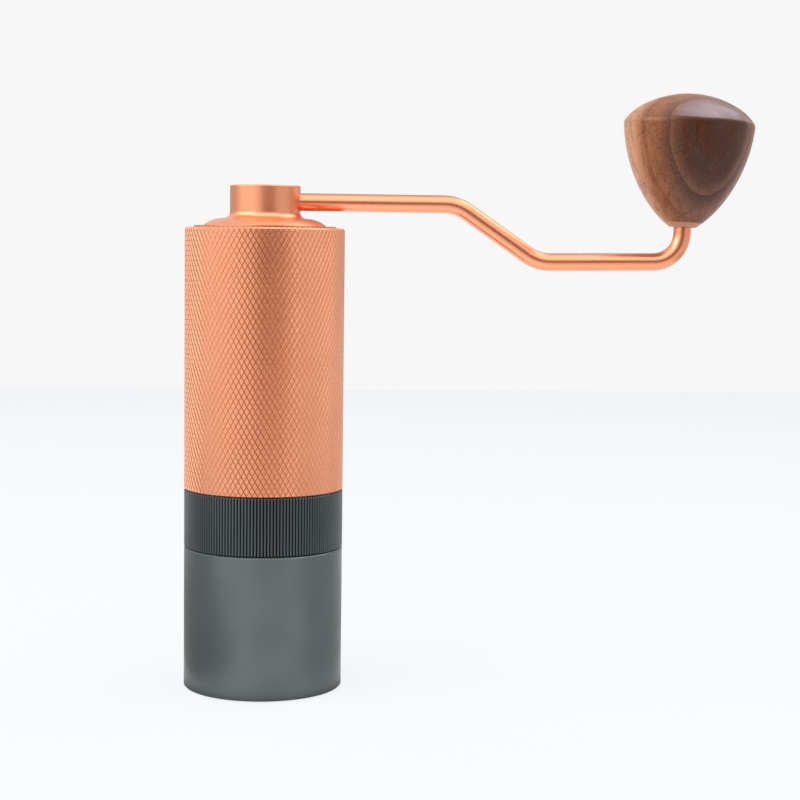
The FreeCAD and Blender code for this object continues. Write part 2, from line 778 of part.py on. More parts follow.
def make_upper_spider():
    body = new_body("upper_spider")
    revolve(body, "turned_web", [
        ("bearing_lip_r", "upper_rim_bottom - hub_overhang"),
        ("spider_hub_r", "upper_rim_bottom - hub_overhang"),
        ("spider_hub_r", "upper_rim_bottom"),
        ("hopper_r - running_gap", "upper_rim_bottom"),
        ("hopper_r - running_gap", "upper_rim_top"),
        ("spider_hub_r", "upper_rim_top"),
        ("spider_hub_r", "upper_rim_top + hub_overhang"),
        ("bearing_r", "upper_rim_top + hub_overhang"),
        ("bearing_r", "upper_bearing_bottom"),
        ("bearing_lip_r", "upper_bearing_bottom"),
    ])
    cut_windows(body, "upper_rim_bottom")
    return body


def make_spider_clip():
    body = new_body("spider_clip")
    revolve(body, "clip_loop", [
        ("spider_clip_r - spider_clip_width", "spider_clip_bottom"),
        ("spider_clip_r", "spider_clip_bottom"),
        ("spider_clip_r", "spider_clip_top"),
        ("spider_clip_r - spider_clip_width", "spider_clip_top"),
    ], angle="clip_turn")
    return body


def make_bearing(side):
    """Both races, two shields, the cage and the balls of one deep-groove bearing."""
    foot = f"{side}_bearing_bottom"
    head = f"{side}_bearing_top"
    middle = f"({foot} + bearing_width / 2)"
    bulge = (f"{middle} + raceway_half", f"{middle} - raceway_half")

    outer = new_body(f"{side}_bearing_outer_race")
    revolve(outer, "race", [
        ("outer_land_r", foot),
        ("bearing_r - race_break", foot),
        ("bearing_r", f"{foot} + race_break"),
        ("bearing_r", f"{head} - race_break"),
        ("bearing_r - race_break", head),
        ("outer_land_r", head),
        ("outer_land_r", bulge[0], "raceway_r", -1),
        ("outer_land_r", bulge[1]),
    ])

    inner = new_body(f"{side}_bearing_inner_race")
    revolve(inner, "race", [
        ("shaft_r", foot),
        ("inner_land_r", foot),
        ("inner_land_r", bulge[1], "raceway_r", -1),
        ("inner_land_r", bulge[0]),
        ("inner_land_r", head),
        ("shaft_r", head),
    ])

    shields = new_body(f"{side}_bearing_shields", several=True)
    inside, outside = "inner_land_r + shield_gap", "outer_land_r"
    rings = []
    for low in (f"{foot} + shield_inset", f"{head} - shield_inset - shield_thickness"):
        high = f"{low} + shield_thickness"
        rings.append([(inside, low), (outside, low), (outside, high), (inside, high)])
    revolve(shields, "plates", *rings)

    cage = new_body(f"{side}_bearing_cage")
    inside, outside = "pitch_r - cage_wall / 2", "pitch_r + cage_wall / 2"
    low, high = f"{middle} - cage_height / 2", f"{middle} + cage_height / 2"
    revolve(cage, "band", [(inside, low), (outside, low), (outside, high), (inside, high)])
    pocket = new_sketch(cage, "pocket_sketch", "YZ_Plane")
    circle(pocket, "pocket", "0", middle, "raceway_r")
    around(cage, extrude(cage, "ball_pocket", pocket, "bearing_r", cut=True), "bearing_balls")

    balls = new_body(f"{side}_bearing_balls", several=True)
    ball = balls.newObject("PartDesign::AdditiveSphere", "ball")
    ball.setExpression("Radius", spelled("ball_r"))
    ball.AttachmentSupport = [(origin(balls, "XY_Plane"), "")]
    ball.MapMode = "FlatFace"
    ball.setExpression("AttachmentOffset.Base.x", spelled("pitch_r"))
    ball.setExpression("AttachmentOffset.Base.z", spelled(middle))
    around(balls, settle(balls, ball), "bearing_balls")
    return [outer, inner, shields, cage, balls]


# Shaft and burrs


def make_drive_shaft():
    body = new_body("drive_shaft")
    profile = [("0", "inner_burr_top"), ("shaft_r", "inner_burr_top")]
    for seat in ("lower_bearing_top", "upper_bearing_top"):
        top = f"{seat} + shaft_clip_thickness + 2 * running_gap"
        profile += [
            ("shaft_r", seat),
            ("shaft_r - shaft_clip_seat", seat),
            ("shaft_r - shaft_clip_seat", top),
            ("shaft_r", top),
        ]
    profile += [("shaft_r", "shaft_shoulder"), ("0", "shaft_shoulder")]
    revolve(body, "round_bar", profile)
    for name, level, length, up in (
        ("crank_end", "shaft_shoulder", "shaft_top - shaft_shoulder", True),
        ("burr_end", "inner_burr_top", "inner_burr_top - shaft_bottom", False),
    ):
        sketch = new_sketch(body, name + "_sketch", "XY_Plane", ("0", "0", level))
        hexagon(sketch, "hex_flats")
        extrude(body, name, sketch, length, up=up)
    outside = "hex_corner_r + cut_margin"
    revolve(body, "crank_end_lead", [
        ("hex_flats / 2 - hex_lead", "shaft_top"),
        (outside, f"shaft_top + hex_flats / 2 - hex_lead - ({outside})"),
        (outside, "shaft_top"),
    ], cut=True)
    round_holes(body, "bolt_hole", "0", "bolt_r + screw_gap", "shaft_bottom", "bolt_length")
    return body


def make_shaft_clips():
    body = new_body("shaft_clips", several=True)
    loops = []
    inside = "shaft_r - shaft_clip_seat + running_gap"
    for seat in ("lower_bearing_top", "upper_bearing_top"):
        low = f"{seat} + running_gap"
        high = f"{low} + shaft_clip_thickness"
        loops.append([(inside, low), ("inner_land_r", low), ("inner_land_r", high), (inside, high)])
    revolve(body, "loops", *loops, angle="clip_turn")
    return body


def make_burr_spacer():
    body = new_body("burr_spacer")
    revolve(body, "sleeve", [
        ("shaft_r + running_gap", "inner_burr_top"),
        ("shaft_r + spacer_wall", "inner_burr_top"),
        ("shaft_r + spacer_wall", "lower_bearing_bottom"),
        ("shaft_r + running_gap", "lower_bearing_bottom"),
    ])
    return body


def make_inner_burr():
    """The turning cone: coarse flutes that draw the beans down, then a band of fine slanting teeth."""
    body = new_body("inner_burr")
    revolve(body, "blank", [
        ("0", "burr_bottom"),
        ("inner_burr_r", "burr_bottom"),
        ("inner_burr_r - fine_taper", "fine_top"),
        ("inner_burr_nose_r", "inner_burr_top"),
        ("0", "inner_burr_top"),
    ])
    foot_r = "inner_burr_r - fine_taper * flute_foot / fine_height"
    fall = "(inner_burr_height - flute_middle) / (inner_burr_height - fine_height)"
    middle_r = f"inner_burr_nose_r + (inner_burr_r - fine_taper - inner_burr_nose_r) * {fall}"
    turned = "flute_lead * (inner_burr_height - flute_middle) / (inner_burr_height - flute_foot)"
    top = notch_sketch(
        body, "flute_top", "inner_burr_top + cut_margin", "inner_burr_nose_r - flute_depth",
        "flute_brim / 2", "0", "flute_back_top", "flute_front_top",
    )
    middle = notch_sketch(
        body, "flute_middle_sketch", "burr_bottom + flute_middle", f"{middle_r} - flute_depth",
        f"{middle_r} + flute_depth", f"-{turned}", "flute_back_middle", "flute_front_middle",
    )
    foot = notch_sketch(
        body, "flute_foot_sketch", "burr_bottom + flute_foot", f"{foot_r} - flute_depth / 2",
        "inner_burr_r + flute_depth", "-flute_lead", "flute_back_foot", "flute_front_foot",
    )
    notches(body, "flute", top, middle, foot, count="flute_count")
    top = notch_sketch(
        body, "tooth_top", "fine_top + cut_margin", "inner_burr_r - fine_taper - tooth_depth",
        "inner_burr_r", "0", "tooth_back", "tooth_front",
    )
    foot = notch_sketch(
        body, "tooth_foot", "burr_bottom - cut_margin", "inner_burr_r - tooth_depth",
        "inner_burr_r + fine_taper", "-tooth_lead", "tooth_back", "tooth_front",
    )
    notches(body, "tooth", top, foot, count="tooth_count")
    bore = new_sketch(body, "bore_sketch", "XY_Plane", ("0", "0", "burr_bottom"))
    hexagon(bore, "hex_hole")
    extrude(body, "bore", bore, "inner_burr_height", cut=True)
    return body


def make_outer_burr():
    """The fixed ring: a flared mouth with coarse flutes, then fine teeth that face the cone's."""
    body = new_body("outer_burr")
    revolve(body, "blank", [
        ("inner_burr_r + burr_gap", "burr_bottom"),
        ("outer_burr_r", "burr_bottom"),
        ("outer_burr_r", "outer_burr_top"),
        ("burr_mouth_r", "outer_burr_top"),
        ("throat_r", "throat_level"),
        ("inner_burr_r + burr_gap - fine_taper", "fine_top"),
    ])
    top = notch_sketch(
        body, "flute_top", "outer_burr_top + cut_margin", "burr_mouth_r + ring_flute_depth / 2",
        "throat_r - cut_margin", "0", "ring_flute_back_top", "ring_flute_front_top",
    )
    foot = notch_sketch(
        body, "flute_foot_sketch", "burr_bottom + flute_foot", "inner_burr_r + burr_gap",
        "throat_r - cut_margin", "ring_flute_lead", "ring_flute_back_foot", "ring_flute_front_foot",
    )
    notches(body, "flute", top, foot, count="ring_flute_count")
    top = notch_sketch(
        body, "tooth_top", "fine_top + cut_margin", "inner_burr_r + burr_gap - fine_taper + tooth_depth",
        "inner_burr_r - fine_taper", "0", "tooth_front", "tooth_back",
    )
    foot = notch_sketch(
        body, "tooth_foot", "burr_bottom - cut_margin", "inner_burr_r + burr_gap + tooth_depth",
        "inner_burr_r - fine_taper", "tooth_lead", "tooth_front", "tooth_back",
    )
    notches(body, "tooth", top, foot, count="tooth_count")
    return body


def make_burr_washer():
    body = new_body("burr_washer")
    revolve(body, "washer", [
        ("bolt_r + screw_gap", "washer_bottom"),
        ("washer_diameter / 2", "washer_bottom"),
        ("washer_diameter / 2", "burr_bottom"),
        ("bolt_r + screw_gap", "burr_bottom"),
    ])
    return body


def make_burr_bolt():
    body = new_body("burr_bolt")
    revolve(body, "bolt", [
        ("0", "bolt_bottom"),
        ("bolt_head / 2", "bolt_bottom"),
        ("bolt_head / 2", "washer_bottom"),
        ("bolt_r", "washer_bottom"),
        ("bolt_r", "washer_bottom + bolt_length"),
        ("0", "washer_bottom + bolt_length"),
    ])
    key = new_sketch(body, "key_sketch", "XY_Plane", ("0", "0", "bolt_bottom"))
    hexagon(key, "bolt_hex")
    extrude(body, "key_socket", key, "bolt_hex_depth", cut=True)
    return body


def make_burr_carrier():
    body = new_body("burr_carrier")
    revolve(body, "turned_carrier", [
        ("burr_seat_r", "burr_bottom"),
        ("carrier_r", "burr_bottom"),
        ("carrier_r", "carrier_flange_top"),
        ("carrier_sleeve_r", "carrier_flange_top"),
        ("carrier_sleeve_r", "carrier_top"),
        ("carrier_mouth_r", "carrier_top"),
        ("carrier_mouth_r", "outer_burr_top"),
        ("burr_seat_r", "outer_burr_top"),
    ])
    key = new_sketch(body, "key_sketch", "XY_Plane", ("0", "0", "key_top"))
    outline(key, [
        ("burr_seat_r + thread_gap", "-key_width / 2"),
        ("key_r", "-key_width / 2"),
        ("key_r", "key_width / 2"),
        ("burr_seat_r + thread_gap", "key_width / 2"),
    ])
    around(body, extrude(body, "key", key, "key_height", up=False), "key_count")
    round_holes(
        body, "screw_hole", "burr_screw_r", "burr_screw_shank / 2 + screw_gap",
        "burr_bottom", "burr_screw_length", "key_count",
    )
    return body


def screw_group(name, across, level, head, head_height, shank, length, count):
    """Upright screws on a circle, their heads down."""
    body = new_body(name, several=True)
    screw = revolve(body, "screw", [
        ("0", f"{level} - {head_height}"),
        (f"{head} / 2", f"{level} - {head_height}"),
        (f"{head} / 2", level),
        (f"{shank} / 2", level),
        (f"{shank} / 2", f"{level} + {length}"),
        ("0", f"{level} + {length}"),
    ], shift=(across, "0", "0"))
    around(body, screw, count)
    return body


def make_burr_screws():
    return screw_group(
        "burr_screws", "burr_screw_r", "burr_bottom", "burr_screw_head", "burr_screw_head_height",
        "burr_screw_shank", "burr_screw_length", "key_count",
    )


# Lid, arm and knob


def make_crank_lid():
    body = new_body("crank_lid")
    revolve(body, "turned_lid", [
        ("0", "socket_top"),
        ("socket_r", "socket_top"),
        ("socket_r", "lid_bottom"),
        ("lid_r", "lid_bottom"),
        ("lid_r", "lid_flange_top"),
        ("dome_r", "lid_flange_top", "dome_curve", 1),
        ("neck_r", "dome_top", "neck_fillet", -1),
        ("hub_r", "dome_top + neck_fillet"),
        ("hub_r", "hub_top - hub_round", "hub_round", 1),
        ("hub_r - hub_round", "hub_top"),
        ("0", "hub_top"),
    ])
    hole = new_sketch(body, "arm_hole_sketch", "YZ_Plane", ("0", "0", "socket_r"))
    circle(hole, "arm", "0", "arm_level", "rod_r")
    extrude(body, "arm_hole", hole, "hub_r", cut=True)
    round_holes(
        body, "grub_hole", "grub_place", "grub_r + screw_gap", "lid_bottom", "arm_height - rod_r / 2",
    )
    round_holes(
        body, "liner_screw_hole", "liner_screw_r", "liner_screw_shank / 2 + screw_gap",
        "lid_bottom", "liner_hole_depth", "liner_screws",
    )
    return body


def make_drive_socket():
    body = new_body("drive_socket")
    revolve(body, "plug", [
        ("0", "lid_bottom"),
        ("socket_r", "lid_bottom"),
        ("socket_r", "socket_top"),
        ("0", "socket_top"),
    ])
    hole = new_sketch(body, "hex_sketch", "XY_Plane", ("0", "0", "lid_bottom"))
    hexagon(hole, "hex_hole")
    extrude(body, "hex_hole", hole, "socket_length - socket_floor", cut=True)
    return body


def make_arm_set_screw():
    body = new_body("arm_set_screw")
    revolve(body, "grub", [
        ("0", "lid_bottom + grub_recess"),
        ("grub_r", "lid_bottom + grub_recess"),
        ("grub_r", "arm_level - rod_r"),
        ("0", "arm_level - rod_r"),
    ], shift=("grub_place", "0", "0"))
    return body


def make_lid_liner():
    body = new_body("lid_liner")
    revolve(body, "moulded_ring", [
        ("liner_bore_r", "liner_bottom"),
        ("liner_r - edge_break", "liner_bottom"),
        ("liner_r", "liner_bottom + edge_break"),
        ("liner_r", "lid_bottom"),
        ("liner_bore_r", "lid_bottom"),
    ])
    round_holes(
        body, "head_recess", "liner_screw_r", "liner_screw_head / 2 + slide_gap", "liner_bottom",
        "liner_screw_head_height", "liner_screws",
    )
    round_holes(
        body, "shank_hole", "liner_screw_r", "liner_screw_shank / 2 + slide_gap", "liner_bottom",
        "liner_thickness", "liner_screws",
    )
    return body


def make_liner_screws():
    return screw_group(
        "liner_screws", "liner_screw_r", "liner_screw_seat", "liner_screw_head", "liner_screw_head_height",
        "liner_screw_shank", "liner_screw_length", "liner_screws",
    )


def make_crank_arm():
    """One rod: level out of the hub, down a slant, along to the elbow, and up into the knob."""
    body = new_body("crank_arm")
    path = new_sketch(body, "centre_line")
    end = ("knob_x + spindle_end * sin(knob_lean * 1 deg)", "knob_z + spindle_end * cos(knob_lean * 1 deg)")
    stops = [
        ("socket_r", "arm_level"),
        ("arm_upper_run", "arm_level"),
        ("slant_end", "slant_foot"),
        ("arm_reach", "elbow_level"),
        end,
    ]
    bends = ["arm_bend", "arm_bend", "elbow_bend"]
    spots = [FreeCAD.Vector(number(across), number(up), 0) for across, up in stops]
    pieces = []
    last = spots[0]
    for index, bend in enumerate(bends, start=1):
        back = (spots[index - 1] - spots[index]).normalize()
        ahead = (spots[index + 1] - spots[index]).normalize()
        reach = number(bend) / math.tan(back.getAngle(ahead) / 2)
        side = 1 if back.cross(ahead).z < 0 else -1
        begin, finish = spots[index] + back * reach, spots[index] + ahead * reach
        pieces += [(Part.LineSegment(last, begin), 1), (arc_between(begin, finish, number(bend), side), side)]
        last = finish
    pieces.append((Part.LineSegment(last, spots[-1]), 1))
    for shape, _ in pieces:
        path.addGeometry(shape)
    ends = [(1, 2) if side > 0 else (2, 1) for _, side in pieces]
    for index in range(len(pieces) - 1):
        path.addConstraint(
            Sketcher.Constraint("Tangent", index, ends[index][1], index + 1, ends[index + 1][0])
        )
    for index, bend in enumerate(bends):
        bound(path, Sketcher.Constraint("Radius", 2 * index + 1, number(bend)), f"bend{index}_r", bend)
    pin(path, "start", 0, 1, *stops[0])
    pin(path, "finish", len(pieces) - 1, 2, *stops[-1])
    for index in (1, 2, 3):
        corner = path.addGeometry(Part.Point(spots[index]), True)
        pin(path, f"corner{index}", corner, 1, *stops[index])
        for line in (2 * index - 2, 2 * index):
            path.addConstraint(Sketcher.Constraint("PointOnObject", corner, 1, line))

    section = new_sketch(body, "rod_section", "YZ_Plane", ("0", "0", "socket_r"))
    circle(section, "rod", "0", "arm_level", "rod_r")
    rod = body.newObject("PartDesign::AdditivePipe", "bent_rod")
    rod.Profile = section
    rod.Spine = path
    settle(body, rod)

    outside = "rod_r + slide_gap"
    low = "knob_clip_bottom - running_gap"
    high = "knob_clip_top + running_gap"
    beyond = "spindle_end + slide_gap"
    revolve(body, "spindle", [
        ("spindle_r", "spindle_shoulder"),
        (outside, "spindle_shoulder"),
        (outside, beyond),
        ("spindle_r", beyond),
        ("spindle_r", high),
        ("spindle_r - knob_clip_seat", high),
        ("spindle_r - knob_clip_seat", low),
        ("spindle_r", low),
    ], shift=("knob_x", "knob_z", "0"), turn="-knob_lean * 1 deg", cut=True)
    return body


def lean_with_spindle(body):
    """Stands a piece that was made upright on the leaning end of the arm."""
    body.Placement = FreeCAD.Placement(FreeCAD.Vector(), FreeCAD.Rotation(FreeCAD.Vector(0, 1, 0), 1))
    body.setExpression("Placement.Base.x", spelled("knob_x"))
    body.setExpression("Placement.Base.z", spelled("knob_z"))
    body.setExpression("Placement.Rotation.Angle", spelled("knob_lean * 1 deg"))
    return body


def make_knob():
    """A turned knob: a bevelled foot, a side of two smoothly joined arcs, and a dome of two more."""
    body = new_body("knob")
    turned = revolve(body, "turned_knob", [
        ("bush_r", "0"),
        ("knob_foot_r", "0"),
        ("knob_heel_r", "knob_foot_rise", "knob_heel_radius", 1),
        ("knob_waist_r", "knob_waist_height", "knob_side_radius", 1),
        ("knob_r", "knob_shoulder", "knob_cheek_radius", 1),
        ("knob_brow_r", "knob_brow_level", "knob_crown_radius", 1),
        ("0", "knob_height"),
        ("0", "knob_bore_top"),
        ("bush_r", "knob_bore_top"),
    ])
    widest = [
        f"Edge{index}" for index, edge in enumerate(turned.Shape.Edges, start=1)
        if edge.BoundBox.ZLength < 1e-6 and abs(edge.BoundBox.XMax - number("knob_r")) < 1e-3
    ]
    soft = body.newObject("PartDesign::Fillet", "soft_shoulder")
    soft.Base = (turned, widest)
    soft.setExpression("Radius", spelled("knob_round"))
    settle(body, soft)
    return lean_with_spindle(body)


def make_knob_bush():
    body = new_body("knob_bush")
    revolve(body, "bush", [
        ("spindle_r + running_gap", "bush_foot"),
        ("bush_r", "bush_foot"),
        ("bush_r", "bush_top"),
        ("spindle_r + running_gap", "bush_top"),
    ])
    return lean_with_spindle(body)


def make_knob_clip():
    body = new_body("knob_clip")
    inside = "spindle_r - knob_clip_seat + running_gap"
    revolve(body, "clip_loop", [
        (inside, "knob_clip_bottom"),
        ("knob_clip_r", "knob_clip_bottom"),
        ("knob_clip_r", "knob_clip_top"),
        (inside, "knob_clip_top"),
    ], angle="clip_turn")
    return lean_with_spindle(body)


MAKERS = [
    make_catch_cup, make_base_pad, make_adjuster_ring, make_frame_collar, make_ring_clip,
    make_detent_ball, make_detent_spring, make_body_shell, make_lower_spider, make_upper_spider,
    make_spider_clip, make_drive_shaft, make_shaft_clips, make_burr_spacer, make_inner_burr,
    make_outer_burr, make_burr_washer, make_burr_bolt, make_burr_carrier, make_burr_screws,
    make_crank_lid, make_drive_socket, make_arm_set_screw, make_lid_liner, make_liner_screws,
    make_crank_arm, make_knob, make_knob_bush, make_knob_clip,
]

pieces = [maker() for maker in MAKERS]
pieces += make_bearing("lower")
pieces += make_bearing("upper")
doc.recompute()

for item in doc.Objects:
    if "Invalid" in item.State or "Error" in item.State:
        raise RuntimeError(f"{item.Label} did not compute")
for piece in pieces:
    if piece.Shape.isNull() or not piece.Shape.isValid():
        raise RuntimeError(f"{piece.Label} has no sound shape")

os.makedirs("parts", exist_ok=True)
for piece in pieces:
    piece.Shape.exportStep(f"parts/{piece.Label}.step")
    print(piece.Label, len(piece.Shape.Solids), round(piece.Shape.Volume, 2))
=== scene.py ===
"""Looks of the hand crank coffee grinder, in metres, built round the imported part."""
import json
import math

import bmesh
import bpy
from mathutils import Matrix, Vector


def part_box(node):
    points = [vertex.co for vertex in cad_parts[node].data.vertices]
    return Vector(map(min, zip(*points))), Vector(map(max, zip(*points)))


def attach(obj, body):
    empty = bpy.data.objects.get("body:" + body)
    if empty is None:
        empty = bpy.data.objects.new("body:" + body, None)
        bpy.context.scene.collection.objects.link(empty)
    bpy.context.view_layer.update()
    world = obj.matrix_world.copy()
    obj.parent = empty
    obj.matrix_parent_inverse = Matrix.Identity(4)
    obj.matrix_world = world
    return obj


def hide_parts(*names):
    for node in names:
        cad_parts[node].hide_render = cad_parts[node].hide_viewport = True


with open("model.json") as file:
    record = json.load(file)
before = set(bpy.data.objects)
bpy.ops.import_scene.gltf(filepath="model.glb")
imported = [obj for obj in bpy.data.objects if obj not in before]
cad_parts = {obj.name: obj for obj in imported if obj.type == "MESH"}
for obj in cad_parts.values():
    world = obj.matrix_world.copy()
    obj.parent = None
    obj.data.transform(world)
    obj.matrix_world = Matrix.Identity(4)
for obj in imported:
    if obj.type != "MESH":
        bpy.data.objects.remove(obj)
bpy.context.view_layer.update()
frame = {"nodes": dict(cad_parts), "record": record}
parts = frame["nodes"]

MM = 0.001


def find_socket(sockets, name):
    """The socket with this number, or the shown socket with this name."""
    if isinstance(name, int):
        return sockets[name]
    return next(socket for socket in sockets if socket.name == name and socket.enabled)


class Wire:
    """One output of a node. Arithmetic on it adds Math nodes."""

    def __init__(self, graph, socket):
        self.graph = graph
        self.socket = socket

    def out(self, name):
        """Another output of the same node."""
        return Wire(self.graph, find_socket(self.socket.node.outputs, name))

    def maths(self, operation, *others):
        """A Math node with this wire in its first socket."""
        return self.graph.maths(operation, self, *others)

    def __add__(self, other):
        return self.maths("ADD", other)

    def __sub__(self, other):
        return self.maths("SUBTRACT", other)

    def __rsub__(self, other):
        return self.graph.maths("SUBTRACT", other, self)

    def __mul__(self, other):
        return self.maths("MULTIPLY", other)

    def __truediv__(self, other):
        return self.maths("DIVIDE", other)

    def __rtruediv__(self, other):
        return self.graph.maths("DIVIDE", other, self)

    def __mod__(self, other):
        return self.maths("FLOORED_MODULO", other)

    __radd__ = __add__
    __rmul__ = __mul__


class Graph:
    """A node tree that is filled by one method."""

    def __init__(self, tree):
        self.tree = tree

    def node(self, kind, settings=None, sockets=None):
        """Adds a node: first its settings, then a value or a wire for each named or numbered socket."""
        made = self.tree.nodes.new(kind)
        for name, value in (settings or {}).items():
            setattr(made, name, value)
        for name, value in (sockets or {}).items():
            socket = find_socket(made.inputs, name)
            if isinstance(value, Wire):
                self.tree.links.new(value.socket, socket)
            else:
                socket.default_value = value
        shown = [socket for socket in made.outputs if socket.enabled]
        return Wire(self, shown[0]) if shown else None

    def maths(self, operation, *values):
        """A Math node on wires and numbers."""
        return self.node("ShaderNodeMath", {"operation": operation}, dict(enumerate(values)))


def screen(red, green, blue):
    """A colour as a screen shows it, 0 to 255, as light."""
    shares = [value / 255.0 for value in (red, green, blue)]
    light = [s / 12.92 if s <= 0.04045 else ((s + 0.055) / 1.055) ** 2.4 for s in shares]
    return (*light, 1.0)


def shaded(colour, share):
    """A colour with this share of its light."""
    return (*(share * part for part in colour[:3]), 1.0)


# The middle of a noise, and the span that most of a soft noise fills.
NOISE_MIDDLE = 0.5
NOISE_SPAN = (0.3, 0.7)


class Finish(Graph):
    """A material: its place on the piece, its grains and its one shader."""

    def __init__(self, name):
        self.material = bpy.data.materials.new(name)
        self.material.use_nodes = True
        self.material.node_tree.nodes.clear()
        super().__init__(self.material.node_tree)
        self.place = self.node("ShaderNodeTexCoord").out("Object")

    def vectors(self, operation, first, second):
        """A Vector Math node on two vectors."""
        return self.node("ShaderNodeVectorMath", {"operation": operation}, {0: first, 1: second})

    def stretched(self, scale):
        """The place, scaled by axis."""
        return self.node("ShaderNodeMapping", {}, {"Vector": self.place, "Scale": scale})

    def grain(self, size, detail=2.0, place=None):
        """Soft noise from 0 to 1, with features of about this size in metres."""
        sockets = {"Vector": place or self.place, "Scale": 1.0 / size, "Detail": detail}
        return self.node("ShaderNodeTexNoise", {}, sockets)

    def between(self, value, low, high):
        """How far a value has come from low to high, 0 to 1, eased."""
        sockets = {"Value": value, "From Min": low, "From Max": high}
        return self.node("ShaderNodeMapRange", {"interpolation_type": "SMOOTHSTEP"}, sockets)

    def mixed(self, share, first, second):
        """The first colour, going over to the second."""
        return self.node("ShaderNodeMix", {"data_type": "RGBA"}, {"Factor": share, "A": first, "B": second})

    def relief(self, height, depth):
        """The surface's normal with a relief of this depth in metres."""
        return self.node("ShaderNodeBump", {}, {"Height": height, "Distance": depth, "Strength": 1.0})

    def surface(self, sockets):
        """Ends the tree in its shader and returns the material."""
        shader = self.node("ShaderNodeBsdfPrincipled", {}, sockets)
        self.node("ShaderNodeOutputMaterial", {}, {"Surface": shader})
        return self.material


# Dyed aluminium: its clouds, how far pits and clouds swing its roughness, and what a cut does: it is
# smoother, and darker as painted shade in the knurl's grooves.
CLOUD_SIZE = 14 * MM
PIT_SWING = 0.10
CLOUD_SWING = 0.04
CUT_SPAN = (0.1, 0.6)
CUT_SMOOTHER = 0.16


def anodised(name, pale, deep, roughness, pit_size, pit_depth, cut=None):
    """Dyed aluminium over a bead blasted skin: a soft metal gloss, fine pits and a faint clouding.
    What a piece marks as cut is smoother and goes over to a darker colour, painted shade deep in the grooves."""
    tree = Finish(name)
    pits = tree.grain(pit_size, detail=3.0)
    clouds = tree.between(tree.grain(CLOUD_SIZE, detail=3.0), *NOISE_SPAN)
    rough = roughness + PIT_SWING * (pits - NOISE_MIDDLE) + CLOUD_SWING * (clouds - NOISE_MIDDLE)
    shade = tree.mixed(clouds, pale, deep)
    if cut:
        mark = tree.node("ShaderNodeAttribute", {"attribute_name": "cut"}).out("Fac")
        marked = tree.between(mark, *CUT_SPAN)
        rough = rough - CUT_SMOOTHER * marked
        # Painted shade: the deeper in a groove, the darker the colour.
        shade = tree.mixed(marked, shade, cut)
    return tree.surface({
        "Base Color": shade,
        "Metallic": 1.0,
        "Roughness": rough,
        "Normal": tree.relief(pits, pit_depth),
    })


# Turned metal: lines drawn out round the axis, and spots in its shade and gloss.
LINE_RUN = (0.12, 0.12, 1.0)
LINE_SWING = 0.08
SPOT_SIZE = 1.6 * MM
SPOT_SPAN = (0.35, 0.75)
SPOT_SHADE = 0.82
SPOT_SWING = 0.12


def turned_metal(name, colour, roughness, line_size, line_depth):
    """Bare metal from the lathe: fine rings round the upright axis, with small spots in its gloss."""
    tree = Finish(name)
    lines = tree.grain(line_size, place=tree.stretched(LINE_RUN))
    spots = tree.grain(SPOT_SIZE, detail=4.0)
    shade = tree.mixed(tree.between(spots, *SPOT_SPAN), colour, shaded(colour, SPOT_SHADE))
    rough = roughness + SPOT_SWING * (spots - NOISE_MIDDLE) + LINE_SWING * (lines - NOISE_MIDDLE)
    return tree.surface({
        "Base Color": shade,
        "Metallic": 1.0,
        "Roughness": rough,
        "Normal": tree.relief(lines, line_depth),
    })


# Moulded pieces: the size and strength of their slight change of shade, and the swing of their roughness.
MOULD_CLOUD_SIZE = 6 * MM
MOULD_SHADE = 1.25
MOULD_SWING = 0.15


def moulded(name, colour, roughness, grain_size, grain_depth):
    """Moulded plastic or rubber: a fine spark eroded grain and a slight change of shade."""
    tree = Finish(name)
    grain = tree.grain(grain_size, detail=3.0)
    cloud = tree.between(tree.grain(MOULD_CLOUD_SIZE), *NOISE_SPAN)
    return tree.surface({
        "Base Color": tree.mixed(cloud, colour, shaded(colour, MOULD_SHADE)),
        "Roughness": roughness + MOULD_SWING * (grain - NOISE_MIDDLE),
        "Normal": tree.relief(grain, grain_depth),
    })


# Growth rings of the knob. They close round one spot on its rim and are drawn out down its side, and the
# heartwood in their middle more so.
SPOT_BELOW_TOP = 10 * MM
SPOT_FACING = math.radians(12)
RINGS_OVER_DOME = 1.8
RINGS_DOWN_SIDE = 0.563
HEART_DOWN_SIDE = 0.38
MAIN_RING = 15.9 * MM
RING_WIDTH = 7.6 * MM
SWAYS_PER_METRE = 45.0
SWAY_DEPTH = 3 * MM

# Where heartwood and pale wood come and go, by distance from the spot, and late and early wood in a year. The
# pale band is sapwood and also painted light, lightening the knob's left side.
HEART_COMES = (26 * MM, 10 * MM)
PALE_COMES = (23 * MM, 32 * MM)
PALE_GOES = (37 * MM, 43 * MM)
LATE_GOES = (0.02, 0.45)
EARLY_COMES = (0.42, 0.95)
EARLY_GOES = (0.96, 1.0)

# Fibres, streaks and pores: their sizes, how they are drawn out, and the noise that shows them.
FIBRE_SIZE = 0.30 * MM
FIBRE_RUN = (1.0, 1.0, 0.06)
FIBRE_COMES = (0.40, 0.80)
STREAK_SIZE = 2.2 * MM
STREAK_RUN = (1.0, 1.0, 0.08)
STREAK_COMES = (0.40, 0.72)
PORES_PER_METRE = 2100.0
PORE_RUN = (1.0, 1.0, 0.45)
PORE_COMES = (0.40, 0.16)
PORE_GROUPS = (0.28, 0.55)

# What follows the knob's own axis: a painted reflection of the floor that greys the wood low down, the bare
# foot, and a painted highlight along the rim.
FLOOR_REFLECTION_BELOW_RIM = 12 * MM
FLOOR_REFLECTION_ABOVE_FOOT = 4 * MM
BARE_FOOT = 1.4 * MM
BARE_FOOT_FADE = 0.3 * MM
RIM_HIGHLIGHT_WIDTH = 1.1 * MM
RIM_HIGHLIGHT_PATCH_SIZE = 5 * MM
RIM_HIGHLIGHT_PATCH_COMES = (0.35, 0.65)
